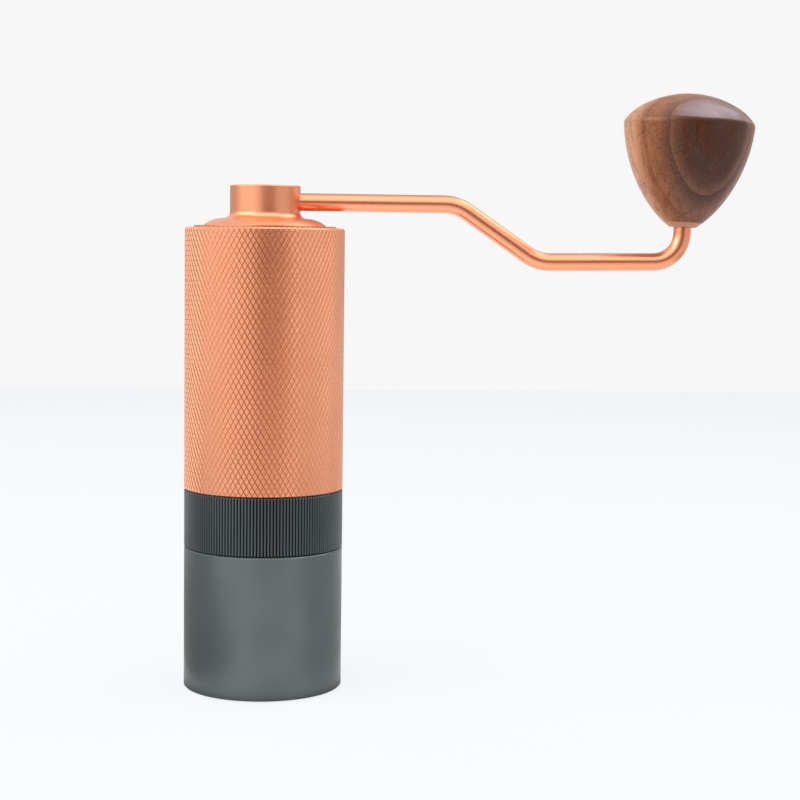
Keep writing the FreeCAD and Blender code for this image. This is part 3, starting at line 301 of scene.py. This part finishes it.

# Colours of the walnut, and the share with which each is mixed in. Some stand for light: the pale wood in
# part, the grey wood as a painted reflection, and the bare wood as a painted highlight on the rim.
PLAIN_WOOD = screen(166, 103, 64)
HEART_WOOD = screen(70, 33, 14)
# Pale sapwood, and painted light: it lightens the knob's left side as if lit from the left.
PALE_AND_LIT_WOOD, PALE_SHARE = screen(232, 174, 134), 0.80
# Painted reflection: the grey of the floor mirrored low on the knob.
FLOOR_REFLECTION_WOOD, FLOOR_REFLECTION_SHARE = screen(118, 96, 89), 0.55
LATE_WOOD, LATE_SHARE = screen(66, 45, 37), 0.30
LATE_LESS_IN_PALE = 0.24
LATE_MORE_WHERE_BOLD = 0.45
EARLY_WOOD, EARLY_SHARE = screen(150, 104, 76), 1.8
STREAK_WOOD, STREAK_SHARE = screen(96, 52, 31), 0.45
FIBRE_WOOD, FIBRE_SHARE = screen(188, 128, 90), 0.30
FIBRE_LESS_IN_HEART = 0.7
PORE_WOOD, PORE_SHARE = screen(36, 22, 15), 0.85
# The bare wood colour serves the bare foot, and also a painted highlight along the rim.
BARE_WOOD_AND_RIM_HIGHLIGHT, BARE_SHARE = screen(196, 148, 116), 0.75
RIM_HIGHLIGHT_SHARE = 0.5

# The oiled surface of the walnut.
OIL_ROUGHNESS = 0.34
OIL_SPECULAR = 0.27
FIBRE_SWING = 0.10
PORE_ROUGHER = 0.15
PORE_DEPTH = 0.02 * MM
FIBRE_DEPTH_SHARE = 0.3


def knob_turning():
    """The knob's own axis, from its joint: a point on it, its direction, and the levels of foot and rim."""
    spin = next(joint for joint in frame["record"]["behaviour"]["joints"] if joint["name"] == "knob_spin")
    axis, pivot = Vector(spin["axis"]).normalized(), Vector(spin["pos_m"])
    arms = [vertex.co - pivot for vertex in parts["knob"].data.vertices]
    foot = min(axis.dot(arm) for arm in arms)
    rim = axis.dot(max(arms, key=lambda arm: axis.cross(arm).length))
    return pivot, axis, foot, rim


def ring_spot():
    """The spot on the knob's rim that the growth rings close round."""
    low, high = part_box("knob")
    reach = (high[0] - low[0]) / 2
    return (
        (low[0] + high[0]) / 2 + reach * math.sin(SPOT_FACING),
        (low[1] + high[1]) / 2 - reach * math.cos(SPOT_FACING),
        high[2] - SPOT_BELOW_TOP,
    )


def swayed_arm(tree):
    """From the spot to the place, in a grain that sways a little. Its three parts are outputs X, Y and Z."""
    sway = tree.vectors("SUBTRACT", tree.grain(1.0 / SWAYS_PER_METRE).out("Color"), (NOISE_MIDDLE,) * 3)
    drift = tree.node("ShaderNodeVectorMath", {"operation": "SCALE"}, {0: sway, "Scale": SWAY_DEPTH})
    arm = tree.vectors("SUBTRACT", tree.vectors("ADD", tree.place, drift), ring_spot())
    return tree.node("ShaderNodeSeparateXYZ", {}, {"Vector": arm})


def ring_age(arm, down_side):
    """How far out in the growth rings a place lies, in metres along the rim."""
    across, away, rise = arm.out("X"), arm.out("Y"), arm.out("Z")
    upright = RINGS_OVER_DOME * rise.maths("MAXIMUM", 0.0) + down_side * rise.maths("MINIMUM", 0.0)
    return (across * across + away * away + upright * upright).maths("SQRT")


def walnut():
    """Oiled walnut: growth rings with dark heartwood in their middle and pale wood at the far side, fibres
    and open pores, with painted light: the pale wood in part, a greyer floor reflection low down and a rim
    highlight."""
    tree = Finish("walnut")
    pivot, axis, foot_level, rim_level = knob_turning()
    arm = swayed_arm(tree)
    age, heart_age = ring_age(arm, RINGS_DOWN_SIDE), ring_age(arm, HEART_DOWN_SIDE)
    year = ((age - MAIN_RING) / RING_WIDTH) % 1.0
    heart = tree.between(heart_age, *HEART_COMES)
    bold = tree.between(age, *HEART_COMES)
    # Painted light in part: the pale band lies over the knob's left side.
    pale = tree.between(heart_age, *PALE_COMES) * (1.0 - tree.between(heart_age, *PALE_GOES))
    late = 1.0 - tree.between(year, *LATE_GOES)
    early = tree.between(year, *EARLY_COMES) * (1.0 - tree.between(year, *EARLY_GOES))

    fibre = tree.grain(FIBRE_SIZE, detail=3.0, place=tree.stretched(FIBRE_RUN))
    streak = tree.grain(STREAK_SIZE, detail=3.0, place=tree.stretched(STREAK_RUN))
    pore_sockets = {"Vector": tree.stretched(PORE_RUN), "Scale": PORES_PER_METRE}
    pores = tree.node("ShaderNodeTexVoronoi", {"feature": "F1"}, pore_sockets)
    pore = tree.between(pores, *PORE_COMES) * tree.between(streak, *PORE_GROUPS)

    lever = tree.vectors("SUBTRACT", tree.place, tuple(pivot))
    level = tree.vectors("DOT_PRODUCT", lever, tuple(axis)).out("Value")
    # Painted reflection: greyer low down on the heartwood side, as the floor mirrored there.
    grey = tree.between(level, rim_level - FLOOR_REFLECTION_BELOW_RIM, foot_level + FLOOR_REFLECTION_ABOVE_FOOT) * heart
    bare_top = foot_level + BARE_FOOT
    foot = tree.between(level, bare_top + BARE_FOOT_FADE, bare_top)
    # Painted highlight: a light line along the rim's crease, in patches.
    rim = tree.between((level - rim_level).maths("ABSOLUTE"), RIM_HIGHLIGHT_WIDTH, 0.0)
    highlight_patches = tree.between(tree.grain(RIM_HIGHLIGHT_PATCH_SIZE, detail=3.0), *RIM_HIGHLIGHT_PATCH_COMES)

    late_share = LATE_SHARE - LATE_LESS_IN_PALE * pale + LATE_MORE_WHERE_BOLD * bold
    fibre_share = (1.0 - heart * FIBRE_LESS_IN_HEART) * FIBRE_SHARE
    wood = tree.mixed(heart, PLAIN_WOOD, HEART_WOOD)
    for share, colour in (
        (pale * PALE_SHARE, PALE_AND_LIT_WOOD),
        (grey * FLOOR_REFLECTION_SHARE, FLOOR_REFLECTION_WOOD),
        (late * late_share, LATE_WOOD),
        (early * bold * (1.0 - bold) * EARLY_SHARE, EARLY_WOOD),
        (tree.between(streak, *STREAK_COMES) * STREAK_SHARE, STREAK_WOOD),
        (tree.between(fibre, *FIBRE_COMES) * fibre_share, FIBRE_WOOD),
        (pore * PORE_SHARE, PORE_WOOD),
        (foot * BARE_SHARE + rim * highlight_patches * (1.0 - heart) * RIM_HIGHLIGHT_SHARE, BARE_WOOD_AND_RIM_HIGHLIGHT),
    ):
        wood = tree.mixed(share, wood, colour)
    return tree.surface({
        "Base Color": wood,
        "Roughness": OIL_ROUGHNESS + FIBRE_SWING * (fibre - NOISE_MIDDLE) + PORE_ROUGHER * pore,
        "Specular IOR Level": OIL_SPECULAR,
        "Normal": tree.relief(fibre * FIBRE_DEPTH_SHARE - pore, PORE_DEPTH),
    })


# Dyed finishes: their two shades, roughness and pits, and the darker colour of the knurl's cuts, painted
# shade in its grooves.
COPPER = {
    "pale": screen(244, 167, 129), "deep": screen(241, 163, 125),
    "roughness": 0.35, "pit_size": 0.30 * MM, "pit_depth": 0.010 * MM,
}
# Painted shade for the knurl's grooves: a darker copper.
COPPER_GROOVE_SHADE = screen(214, 144, 111)
COPPER_ROD = {
    "pale": screen(241, 161, 123), "deep": screen(239, 158, 120),
    "roughness": 0.29, "pit_size": 0.30 * MM, "pit_depth": 0.005 * MM,
}
DARK = {
    "pale": screen(110, 118, 117), "deep": screen(106, 114, 113),
    "roughness": 0.33, "pit_size": 0.20 * MM, "pit_depth": 0.005 * MM,
}
BLACK = {
    "pale": screen(88, 95, 96), "deep": screen(85, 92, 93),
    "roughness": 0.33, "pit_size": 0.20 * MM, "pit_depth": 0.005 * MM,
}

# Turned and moulded finishes: colour, roughness, and the size and depth of their lines or grain.
TURNED = {
    "raw_aluminium": (screen(214, 216, 218), 0.32, 0.16 * MM, 0.004 * MM),
    "steel": (screen(196, 196, 194), 0.22, 0.12 * MM, 0.002 * MM),
    "burr_steel": (screen(176, 176, 178), 0.28, 0.10 * MM, 0.003 * MM),
    "black_steel": (screen(58, 58, 60), 0.34, 0.14 * MM, 0.003 * MM),
    "bronze": (screen(196, 140, 82), 0.36, 0.18 * MM, 0.006 * MM),
}
MOULDED = {
    "black_plastic": (screen(34, 34, 36), 0.45, 0.25 * MM, 0.010 * MM),
    "cage_plastic": (screen(206, 196, 170), 0.50, 0.30 * MM, 0.006 * MM),
    "silicone": (screen(38, 38, 40), 0.62, 0.20 * MM, 0.008 * MM),
}
FINISHES = {
    "copper_anodised": anodised("copper_anodised", **COPPER),
    "copper_rod": anodised("copper_rod", **COPPER_ROD),
    "copper_knurled": anodised("copper_knurled", **COPPER, cut=COPPER_GROOVE_SHADE),
    "dark_anodised": anodised("dark_anodised", **DARK),
    "black_anodised": anodised("black_anodised", **BLACK),
    **{name: turned_metal(name, *sizes) for name, sizes in TURNED.items()},
    "walnut": walnut(),
    **{name: moulded(name, *sizes) for name, sizes in MOULDED.items()},
}


def dress(obj, finish):
    """Gives a piece one finish all over."""
    obj.data.materials.clear()
    obj.data.materials.append(FINISHES[finish])


# Points of a grown mesh that lie this close become one.
WELD_REACH = 0.002 * MM


def size_tree(name, sizes):
    """A geometry tree with named sizes. Returns its graph and a wire for each input."""
    tree = bpy.data.node_groups.new(name, "GeometryNodeTree")
    tree.interface.new_socket("Geometry", in_out="INPUT", socket_type="NodeSocketGeometry")
    for size in sizes:
        tree.interface.new_socket(size, in_out="INPUT", socket_type="NodeSocketFloat")
    tree.interface.new_socket("Geometry", in_out="OUTPUT", socket_type="NodeSocketGeometry")
    graph = Graph(tree)
    entry = graph.node("NodeGroupInput")
    return graph, {size: entry.out(size) for size in ("Geometry", *sizes)}


def close_tree(graph, geometry, finish):
    """Ends a geometry tree with real geometry in one finish."""
    real = graph.node("GeometryNodeRealizeInstances", {}, {"Geometry": geometry})
    merged = graph.node("GeometryNodeMergeByDistance", {}, {"Geometry": real, "Distance": WELD_REACH})
    dressed = graph.node("GeometryNodeSetMaterial", {}, {"Geometry": merged, "Material": FINISHES[finish]})
    graph.node("NodeGroupOutput", {}, {"Geometry": dressed})
    return graph.tree


def grown(name, base, tree, sizes):
    """Runs a geometry tree on a base mesh. Returns a plain mesh object at the origin."""
    obj = bpy.data.objects.new(name, base)
    bpy.context.scene.collection.objects.link(obj)
    shape = obj.modifiers.new("shape", "NODES")
    shape.node_group = tree
    for item in tree.interface.items_tree:
        if item.in_out == "INPUT" and item.name in sizes:
            shape[item.identifier] = float(sizes[item.name])
    ready = obj.evaluated_get(bpy.context.evaluated_depsgraph_get())
    mesh = bpy.data.meshes.new_from_object(ready)
    obj.modifiers.remove(shape)
    obj.data = mesh
    bpy.data.meshes.remove(base)
    return obj


# The knurled body: diamonds on crossed helices, cut into the tube and broken at both ends.
KNURL_COLUMNS = 90
KNURL_ROWS = 27
SPARE_ROWS = 4
KNURL_DEPTH = 0.175 * MM
LAND_SHARE = 0.77
NOSE_SHARE = 0.03
NOSE_DROP = 0.02 * MM
KNURL_PHASE = 0.13
TOP_CHAMFER = 0.6 * MM
FOOT_BREAK = 0.4 * MM
SHARP_FROM = math.radians(18)
CUT_REACH = 0.0005 * MM
RIM_REACH = 0.001 * MM

# The bore of the body, as the part has it: radii, heights down from the mouth, and levels above the foot.
MOUTH_RADIUS = 22.0 * MM
MOUTH_BREAK = 0.4 * MM
MOUTH_LIP = 5.75 * MM
HOPPER_RADIUS = 23.2 * MM
GROOVE_RADIUS = 23.65 * MM
GROOVE_TOP = 76.75 * MM
GROOVE_FOOT = 75.55 * MM
COLLAR_RADIUS = 24.0 * MM
COLLAR_TOP = 18.15 * MM
FLANGE_RADIUS = 25.45 * MM
FLANGE_TOP = 5.15 * MM


def body_bore(height):
    """The bore of a body of this height, as radius and level above its foot, from the mouth down."""
    return (
        (MOUTH_RADIUS + MOUTH_BREAK, height),
        (MOUTH_RADIUS, height - MOUTH_BREAK),
        (MOUTH_RADIUS, height - MOUTH_LIP),
        (HOPPER_RADIUS, height - MOUTH_LIP),
        (HOPPER_RADIUS, GROOVE_TOP),
        (GROOVE_RADIUS, GROOVE_TOP),
        (GROOVE_RADIUS, GROOVE_FOOT),
        (HOPPER_RADIUS, GROOVE_FOOT),
        (HOPPER_RADIUS, COLLAR_TOP),
        (COLLAR_RADIUS, COLLAR_TOP),
        (COLLAR_RADIUS, FLANGE_TOP),
        (FLANGE_RADIUS, FLANGE_TOP),
        (FLANGE_RADIUS, 0.0),
    )


def knurl_cell(width, height):
    """One diamond, laid flat: x runs round the body, y up it and z out of it."""
    corners = ((1, 0), (0, 1), (-1, 0), (0, -1))
    sides = len(corners)
    rings = ((1.0, -KNURL_DEPTH), (LAND_SHARE + NOSE_SHARE, -NOSE_DROP), (LAND_SHARE, 0.0))
    points = []
    for share, level in rings:
        points += [(x * share * width / 2, y * share * height / 2, level) for x, y in corners]
    faces = []
    for ring in range(len(rings) - 1):
        for side in range(sides):
            first, second = sides * ring + side, sides * ring + (side + 1) % sides
            faces.append((first, second, second + sides, first + sides))
    land = sides * (len(rings) - 1)
    faces += [(land, land + 1, land + 3), (land + 1, land + 2, land + 3)]
    mesh = bpy.data.meshes.new("knurl_cell")
    mesh.from_pydata(points, [], faces)
    marks = mesh.attributes.new("cut", "FLOAT", "POINT")
    for mark, point in zip(marks.data, points):
        mark.value = -point[2] / KNURL_DEPTH
    return mesh


def knurl_tree():
    """Sets one diamond on every crossing of the two helices and wraps the sheet round the body."""
    sizes = ("Columns", "Rows", "Cell Width", "Cell Height", "Radius", "Start")
    graph, size = size_tree("knurl_wrap", sizes)
    points = graph.node("GeometryNodePoints", {}, {"Count": size["Columns"] * size["Rows"]})
    index = graph.node("GeometryNodeInputIndex")
    row = (index / size["Columns"]).maths("FLOOR")
    column = index - row * size["Columns"]
    across = (column + (row % 2.0) * 0.5) * size["Cell Width"]
    upward = size["Start"] + row * size["Cell Height"] * 0.5
    flat = graph.node("ShaderNodeCombineXYZ", {}, {"X": across, "Y": upward})
    laid = graph.node("GeometryNodeSetPosition", {}, {"Geometry": points, "Position": flat})
    cells = graph.node("GeometryNodeInstanceOnPoints", {}, {"Points": laid, "Instance": size["Geometry"]})
    real = graph.node("GeometryNodeRealizeInstances", {}, {"Geometry": cells})
    spot = graph.node("ShaderNodeSeparateXYZ", {}, {"Vector": graph.node("GeometryNodeInputPosition")})
    turn = spot.out("X") / size["Radius"]
    reach = size["Radius"] + spot.out("Z")
    wrapped = graph.node("ShaderNodeCombineXYZ", {}, {
        "X": reach * turn.maths("COSINE"),
        "Y": reach * turn.maths("SINE"),
        "Z": spot.out("Y"),
    })
    rolled = graph.node("GeometryNodeSetPosition", {}, {"Geometry": real, "Position": wrapped})
    return close_tree(graph, rolled, "copper_knurled")


def cut_level(shape, level, keep_below=None):
    """Cuts a mesh at a height, and drops what lies above or below it if asked to."""
    bmesh.ops.bisect_plane(
        shape, geom=shape.verts[:] + shape.edges[:] + shape.faces[:], dist=CUT_REACH,
        plane_co=(0, 0, level), plane_no=(0, 0, 1),
        clear_outer=keep_below is True, clear_inner=keep_below is False,
    )


def turn_of(point):
    """The angle round the upright axis at which a mesh point lies."""
    return math.atan2(point.co.y, point.co.x)


def ring_at(shape, level):
    """The open edge's points at a height, in order round the axis."""
    rim = [point for point in shape.verts if point.is_boundary and abs(point.co.z - level) < RIM_REACH]
    return sorted(rim, key=turn_of)


def bridge(shape, upper, lower):
    """Joins two rings of as many points."""
    for here in range(len(upper)):
        there = (here + 1) % len(upper)
        shape.faces.new((upper[here], upper[there], lower[there], lower[here]))


def break_ends(shape, top, foot):
    """Cuts the knurled sheet to length and leans its two ends in, as a chamfer and a broken edge."""
    cut_level(shape, top, keep_below=True)
    cut_level(shape, foot, keep_below=False)
    cut_level(shape, top - TOP_CHAMFER)
    cut_level(shape, foot + FOOT_BREAK)
    for point in shape.verts:
        drop = max(0.0, point.co.z - (top - TOP_CHAMFER), foot + FOOT_BREAK - point.co.z)
        share = 1.0 - drop / math.hypot(point.co.x, point.co.y)
        point.co.x *= share
        point.co.y *= share


def line_bore(shape, top, foot):
    """Closes the knurled sheet into a tube by its bore."""
    ring, sole = ring_at(shape, top), ring_at(shape, foot)
    turns = [turn_of(point) for point in ring]
    for radius, level in body_bore(top - foot):
        places = [(radius * math.cos(turn), radius * math.sin(turn), foot + level) for turn in turns]
        inner = [shape.verts.new(place) for place in places]
        bridge(shape, ring, inner)
        ring = inner
    bridge(shape, ring, sole)


def knurled_body():
    """The bean body: knurled outside, with the chamfers, steps and grooves of the tube it stands for."""
    low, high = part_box("body_shell")
    foot, top, radius = low[2], high[2], high[0]
    width = 2 * math.pi * radius / KNURL_COLUMNS
    height = (top - foot) / KNURL_ROWS
    body = grown("body_knurled", knurl_cell(width, height), knurl_tree(), {
        "Columns": KNURL_COLUMNS,
        "Rows": 2 * KNURL_ROWS + SPARE_ROWS,
        "Cell Width": width,
        "Cell Height": height,
        "Radius": radius,
        "Start": foot - (1 - KNURL_PHASE) * height,
    })
    shape = bmesh.new()
    shape.from_mesh(body.data)
    break_ends(shape, top, foot)
    line_bore(shape, top, foot)
    bmesh.ops.recalc_face_normals(shape, faces=shape.faces[:])
    for face in shape.faces:
        face.smooth = True
    shape.to_mesh(body.data)
    shape.free()
    body.data.set_sharp_from_angle(angle=SHARP_FROM)
    dress(body, "copper_knurled")
    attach(body, "body")
    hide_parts("body_shell")


# The thread on the ring's spigot, which the cup screws on to.
THREAD_TURNS = 5.0
THREAD_STEPS = 120
THREAD_HEIGHT = 0.085 * MM
THREAD_INSET = 0.9 * MM
SPIGOT_RADIUS = 25.0 * MM
SPIGOT_LENGTH = 7.0 * MM


def thread_tree():
    """Winds a low ridge of square section round the upright axis."""
    graph, size = size_tree("thread_ridge", ("Turns", "Radius", "Height", "Ridge"))
    helix = graph.node("GeometryNodeCurveSpiral", {}, {
        "Resolution": THREAD_STEPS,
        "Rotations": size["Turns"],
        "Start Radius": size["Radius"],
        "End Radius": size["Radius"],
        "Height": size["Height"],
    })
    square = {"Resolution": 4, "Radius": size["Ridge"]}
    section = graph.node("GeometryNodeCurvePrimitiveCircle", {"mode": "RADIUS"}, square)
    swept = {"Curve": helix, "Profile Curve": section, "Fill Caps": True}
    return close_tree(graph, graph.node("GeometryNodeCurveToMesh", {}, swept), "black_anodised")


def spigot_thread():
    """The ridge of the thread, on the spigot below the ring."""
    ring_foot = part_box("adjuster_ring")[0][2]
    ridge = grown("spigot_thread", bpy.data.meshes.new("thread_seed"), thread_tree(), {
        "Turns": THREAD_TURNS,
        "Radius": SPIGOT_RADIUS,
        "Height": SPIGOT_LENGTH - 2 * THREAD_INSET,
        "Ridge": THREAD_HEIGHT,
    })
    ridge.data.transform(Matrix.Translation((0.0, 0.0, ring_foot + THREAD_INSET)))
    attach(ridge, "ring")


knurled_body()
spigot_thread()

for row in frame["record"]["subparts"]:
    dress(parts[row["node"]], row["material_slot"])
dress(parts["crank_arm"], "copper_rod")

# Studio: a cool white floor, a plain white wall, softboxes, and cards that the metal mirrors.
FLOOR_COLOUR = screen(248, 250, 254)
WALL_COLOUR = screen(247, 247, 247)
ROOM_SIDE = 2.6
ROOM_FRONT = -1.3
WALL_BEHIND = 1.32
WALL_HEIGHT = 2.4
FLOOR_SHADE = 0.14
WALL_SHADE = 0.0
DIFFUSE_LEVEL = 0.55
MIRROR_LEVEL = 1.0


def seen_rays(tree):
    """1 for the rays that show a surface: from the camera, in a mirror or through glass."""
    path = tree.node("ShaderNodeLightPath")
    seen = path.out("Is Camera Ray") + path.out("Is Glossy Ray") + path.out("Is Transmission Ray")
    return seen.maths("MINIMUM", 1.0)


def studio_surface(name, colour, shade):
    """A matt surface that is seen at its own colour, with a share of the object's shadow."""
    tree = Finish(name)
    matt = tree.node("ShaderNodeBsdfDiffuse", {}, {"Color": colour})
    glow = tree.node("ShaderNodeEmission", {}, {"Color": colour, "Strength": 1.0})
    mixed = tree.node("ShaderNodeMixShader", {}, {0: seen_rays(tree) * (1.0 - shade), 1: matt, 2: glow})
    tree.node("ShaderNodeOutputMaterial", {}, {"Surface": mixed})
    return tree.material


def studio_sheet(name, corners, faces, material):
    """A stage piece of flat faces."""
    mesh = bpy.data.meshes.new(name)
    mesh.from_pydata(corners, [], faces)
    mesh.materials.append(material)
    sheet = bpy.data.objects.new(name, mesh)
    bpy.context.scene.collection.objects.link(sheet)
    return sheet


def studio_room():
    """Floor and wall, and white all round them for the camera and for mirror rays."""
    left, right = -ROOM_SIDE, ROOM_SIDE
    floor = [(left, ROOM_FRONT, 0), (right, ROOM_FRONT, 0), (right, WALL_BEHIND, 0), (left, WALL_BEHIND, 0)]
    wall_corners = ((left, 0), (right, 0), (right, WALL_HEIGHT), (left, WALL_HEIGHT))
    wall = [(x, WALL_BEHIND, z) for x, z in wall_corners]
    face = [(0, 1, 2, 3)]
    studio_sheet("studio_floor", floor, face, studio_surface("floor_white", FLOOR_COLOUR, FLOOR_SHADE))
    studio_sheet("studio_wall", wall, face, studio_surface("wall_white", WALL_COLOUR, WALL_SHADE))
    world = bpy.data.worlds.new("studio")
    world.use_nodes = True
    world.node_tree.nodes.clear()
    bpy.context.scene.world = world
    tree = Graph(world.node_tree)
    level = DIFFUSE_LEVEL + (MIRROR_LEVEL - DIFFUSE_LEVEL) * seen_rays(tree)
    glow = tree.node("ShaderNodeBackground", {}, {"Color": WALL_COLOUR, "Strength": level})
    tree.node("ShaderNodeOutputWorld", {}, {"Surface": glow})


def softbox(name, place, aim, width, height, level, gloss_of=None, tint=(1.0, 1.0, 1.0)):
    """An area lamp whose face has this brightness, where 1 is white. With gloss_of it shows only in the gloss
    of that node."""
    lamp = bpy.data.lights.new(name, "AREA")
    lamp.shape = "RECTANGLE"
    lamp.size = width
    lamp.size_y = height
    lamp.color = tint
    lamp.energy = level * math.pi * width * height
    box = bpy.data.objects.new(name, lamp)
    box.location = place
    box.rotation_euler = (Vector(aim) - Vector(place)).to_track_quat("-Z", "Y").to_euler()
    box.visible_camera = False
    bpy.context.scene.collection.objects.link(box)
    if gloss_of:
        box.visible_diffuse = False
        box.light_linking.receiver_collection = bpy.data.collections.new(name + "_receiver")
        box.light_linking.receiver_collection.objects.link(parts[gloss_of])


# A standing card is an arc of flats, usually at one distance. A lying card is just off the floor.
CARD_FLATS = 8
CARD_DISTANCE = 1.0
CARD_LIFT = 0.2 * MM


def card_finish(name, level):
    """A card's plain shade, as one level of grey or as three levels."""
    shade = level if isinstance(level, tuple) else (level, level, level)
    tree = Finish(name)
    matt = tree.node("ShaderNodeEmission", {}, {"Color": (*shade, 1.0), "Strength": 1.0})
    tree.node("ShaderNodeOutputMaterial", {}, {"Surface": matt})
    return tree.material


def standing_card(name, angles, heights, level, distance=CARD_DISTANCE):
    """An upright card bent round the object, between two angles in degrees from the camera's side."""
    first, last = angles
    points = []
    for step in range(CARD_FLATS + 1):
        angle = math.radians(first + (last - first) * step / CARD_FLATS)
        points += [(distance * math.sin(angle), -distance * math.cos(angle), height) for height in heights]
    faces = [(2 * n, 2 * n + 2, 2 * n + 3, 2 * n + 1) for n in range(CARD_FLATS)]
    card = studio_sheet(name, points, faces, card_finish(name, level))
    card.visible_camera = False


def lying_card(name, corners, level, lift=CARD_LIFT):
    """A card that lies on the floor, seen by nothing but mirror rays."""
    points = [(x, y, lift) for x, y in corners]
    card = studio_sheet(name, points, [range(len(points))], card_finish(name, level))
    card.visible_camera = False
    card.visible_diffuse = False
    card.visible_shadow = False


def oblong(left, right, front, back):
    """The corners of an oblong card."""
    return [(left, front), (right, front), (right, back), (left, back)]


def disc(radius, steps=64):
    """The corners of a round card."""
    turns = [2 * math.pi * step / steps for step in range(steps)]
    return [(radius * math.cos(turn), radius * math.sin(turn)) for turn in turns]


# Where the knob's softboxes aim, and their cool tint.
KNOB_DOME = (0.143, 0.0, 0.195)
LILAC = (0.93, 0.87, 1.0)
ON_KNOB = {"aim": KNOB_DOME, "gloss_of": "knob", "tint": LILAC}

# A painted contact shadow that the metal mirrors round the cup's foot: radius and level of each dark disc,
# the lowest first.
FOOT_SHADOW_CARDS = ((44 * MM, 0.90), (38 * MM, 0.78), (33 * MM, 0.62), (29.5 * MM, 0.40))
FOOT_SHADOW_LIFT = 0.3 * MM
FOOT_SHADOW_STEP = 0.1 * MM


def studio_lamps():
    """Three softboxes for everything, three for the knob's gloss and one under the rod for its gloss."""
    softbox("left_softbox", place=(-0.80, -0.33, 0.66), aim=(0.0, 0.0, 0.12), width=1.2, height=0.6,
            level=2.05)
    softbox("front_softbox", place=(0.05, -0.45, 0.975), aim=(0.05, -0.11, 0.14), width=1.3, height=1.15,
            level=0.95)
    softbox("right_softbox", place=(0.60, 0.22, 0.863), aim=(0.0, 0.0, 0.157), width=0.7, height=0.5,
            level=1.8)
    softbox("knob_top_softbox", place=(0.375, -0.106, 1.195), width=0.65, height=0.8, level=11.0, **ON_KNOB)
    softbox("knob_back_softbox", place=(0.708, 0.431, 1.195), width=0.8, height=0.65, level=4.0, **ON_KNOB)
    softbox("knob_low_softbox", place=(0.793, 0.918, 0.845), width=0.85, height=0.65, level=2.0, **ON_KNOB)
    softbox("rod_softbox", place=(0.09, -0.01, 0.004), aim=(0.09, -0.01, 1.0), width=0.42, height=0.42,
            level=0.45, gloss_of="crank_arm")


def studio_cards():
    """The cards that give the metal its dark and bright bands, and dark discs that paint a shadow round the
    cup's foot.
    """
    standing_card("camera_side_card", angles=(-12, 34), heights=(0.05, 0.34), level=(0.22, 0.10, 0.05),
                  distance=0.66)
    standing_card("camera_low_card", angles=(-12, 34), heights=(0.0, 0.05), level=(0.85, 0.70, 0.60),
                  distance=0.66)
    standing_card("right_card", angles=(36, 105), heights=(0.0, 0.8), level=0.76)
    standing_card("back_low_card", angles=(130, 264), heights=(0.10, 0.42), level=0.6)
    standing_card("back_foot_card", angles=(200, 264), heights=(0.0, 0.10), level=0.55)
    standing_card("back_right_card", angles=(130, 182), heights=(0.42, 1.3), level=0.5)
    standing_card("back_left_card", angles=(182, 250), heights=(0.42, 1.3), level=0.95)
    lying_card("left_near_card", oblong(left=-0.14, right=-0.043, front=-0.08, back=0.25), level=0.46)
    lying_card("left_floor_card", oblong(left=-0.55, right=-0.14, front=-0.08, back=0.25), level=0.55)
    lying_card("right_near_card", oblong(left=0.045, right=0.15, front=-0.06, back=0.20), level=0.68)
    lying_card("right_floor_card", oblong(left=0.15, right=0.55, front=-0.20, back=0.25), level=0.68)
    # Painted shadow: dark discs round the cup's foot, seen only in mirror rays.
    for number, (radius, level) in enumerate(FOOT_SHADOW_CARDS):
        lift = FOOT_SHADOW_LIFT + FOOT_SHADOW_STEP * number
        lying_card(f"foot_card_{number}", disc(radius), level, lift)


def studio_camera():
    """The camera of the photograph: its place, its angles and its focal length in pixels of the frame."""
    place = Vector((0.0, -601.0, 148.44)) * MM
    focal_pixels, frame_pixels, sensor = 1763.46, 800, 36.0
    pitch, yaw, roll = math.radians(4.729), math.radians(4.421), math.radians(0.711)
    ahead = Vector((math.sin(yaw) * math.cos(pitch), math.cos(yaw) * math.cos(pitch), -math.sin(pitch)))
    level = Vector((math.cos(yaw), -math.sin(yaw), 0.0))
    over = level.cross(ahead)
    right = math.cos(roll) * level + math.sin(roll) * over
    up = -math.sin(roll) * level + math.cos(roll) * over
    lens = bpy.data.cameras.new("photo_camera")
    lens.sensor_fit = "HORIZONTAL"
    lens.sensor_width = sensor
    lens.lens = focal_pixels / frame_pixels * sensor
    lens.clip_start = 0.01
    camera = bpy.data.objects.new("photo_camera", lens)
    camera.matrix_world = Matrix.Translation(place) @ Matrix((right, up, -ahead)).transposed().to_4x4()
    bpy.context.scene.collection.objects.link(camera)
    bpy.context.scene.camera = camera


studio_room()
studio_lamps()
studio_cards()
studio_camera()
bpy.context.scene.view_settings.view_transform = "Standard"
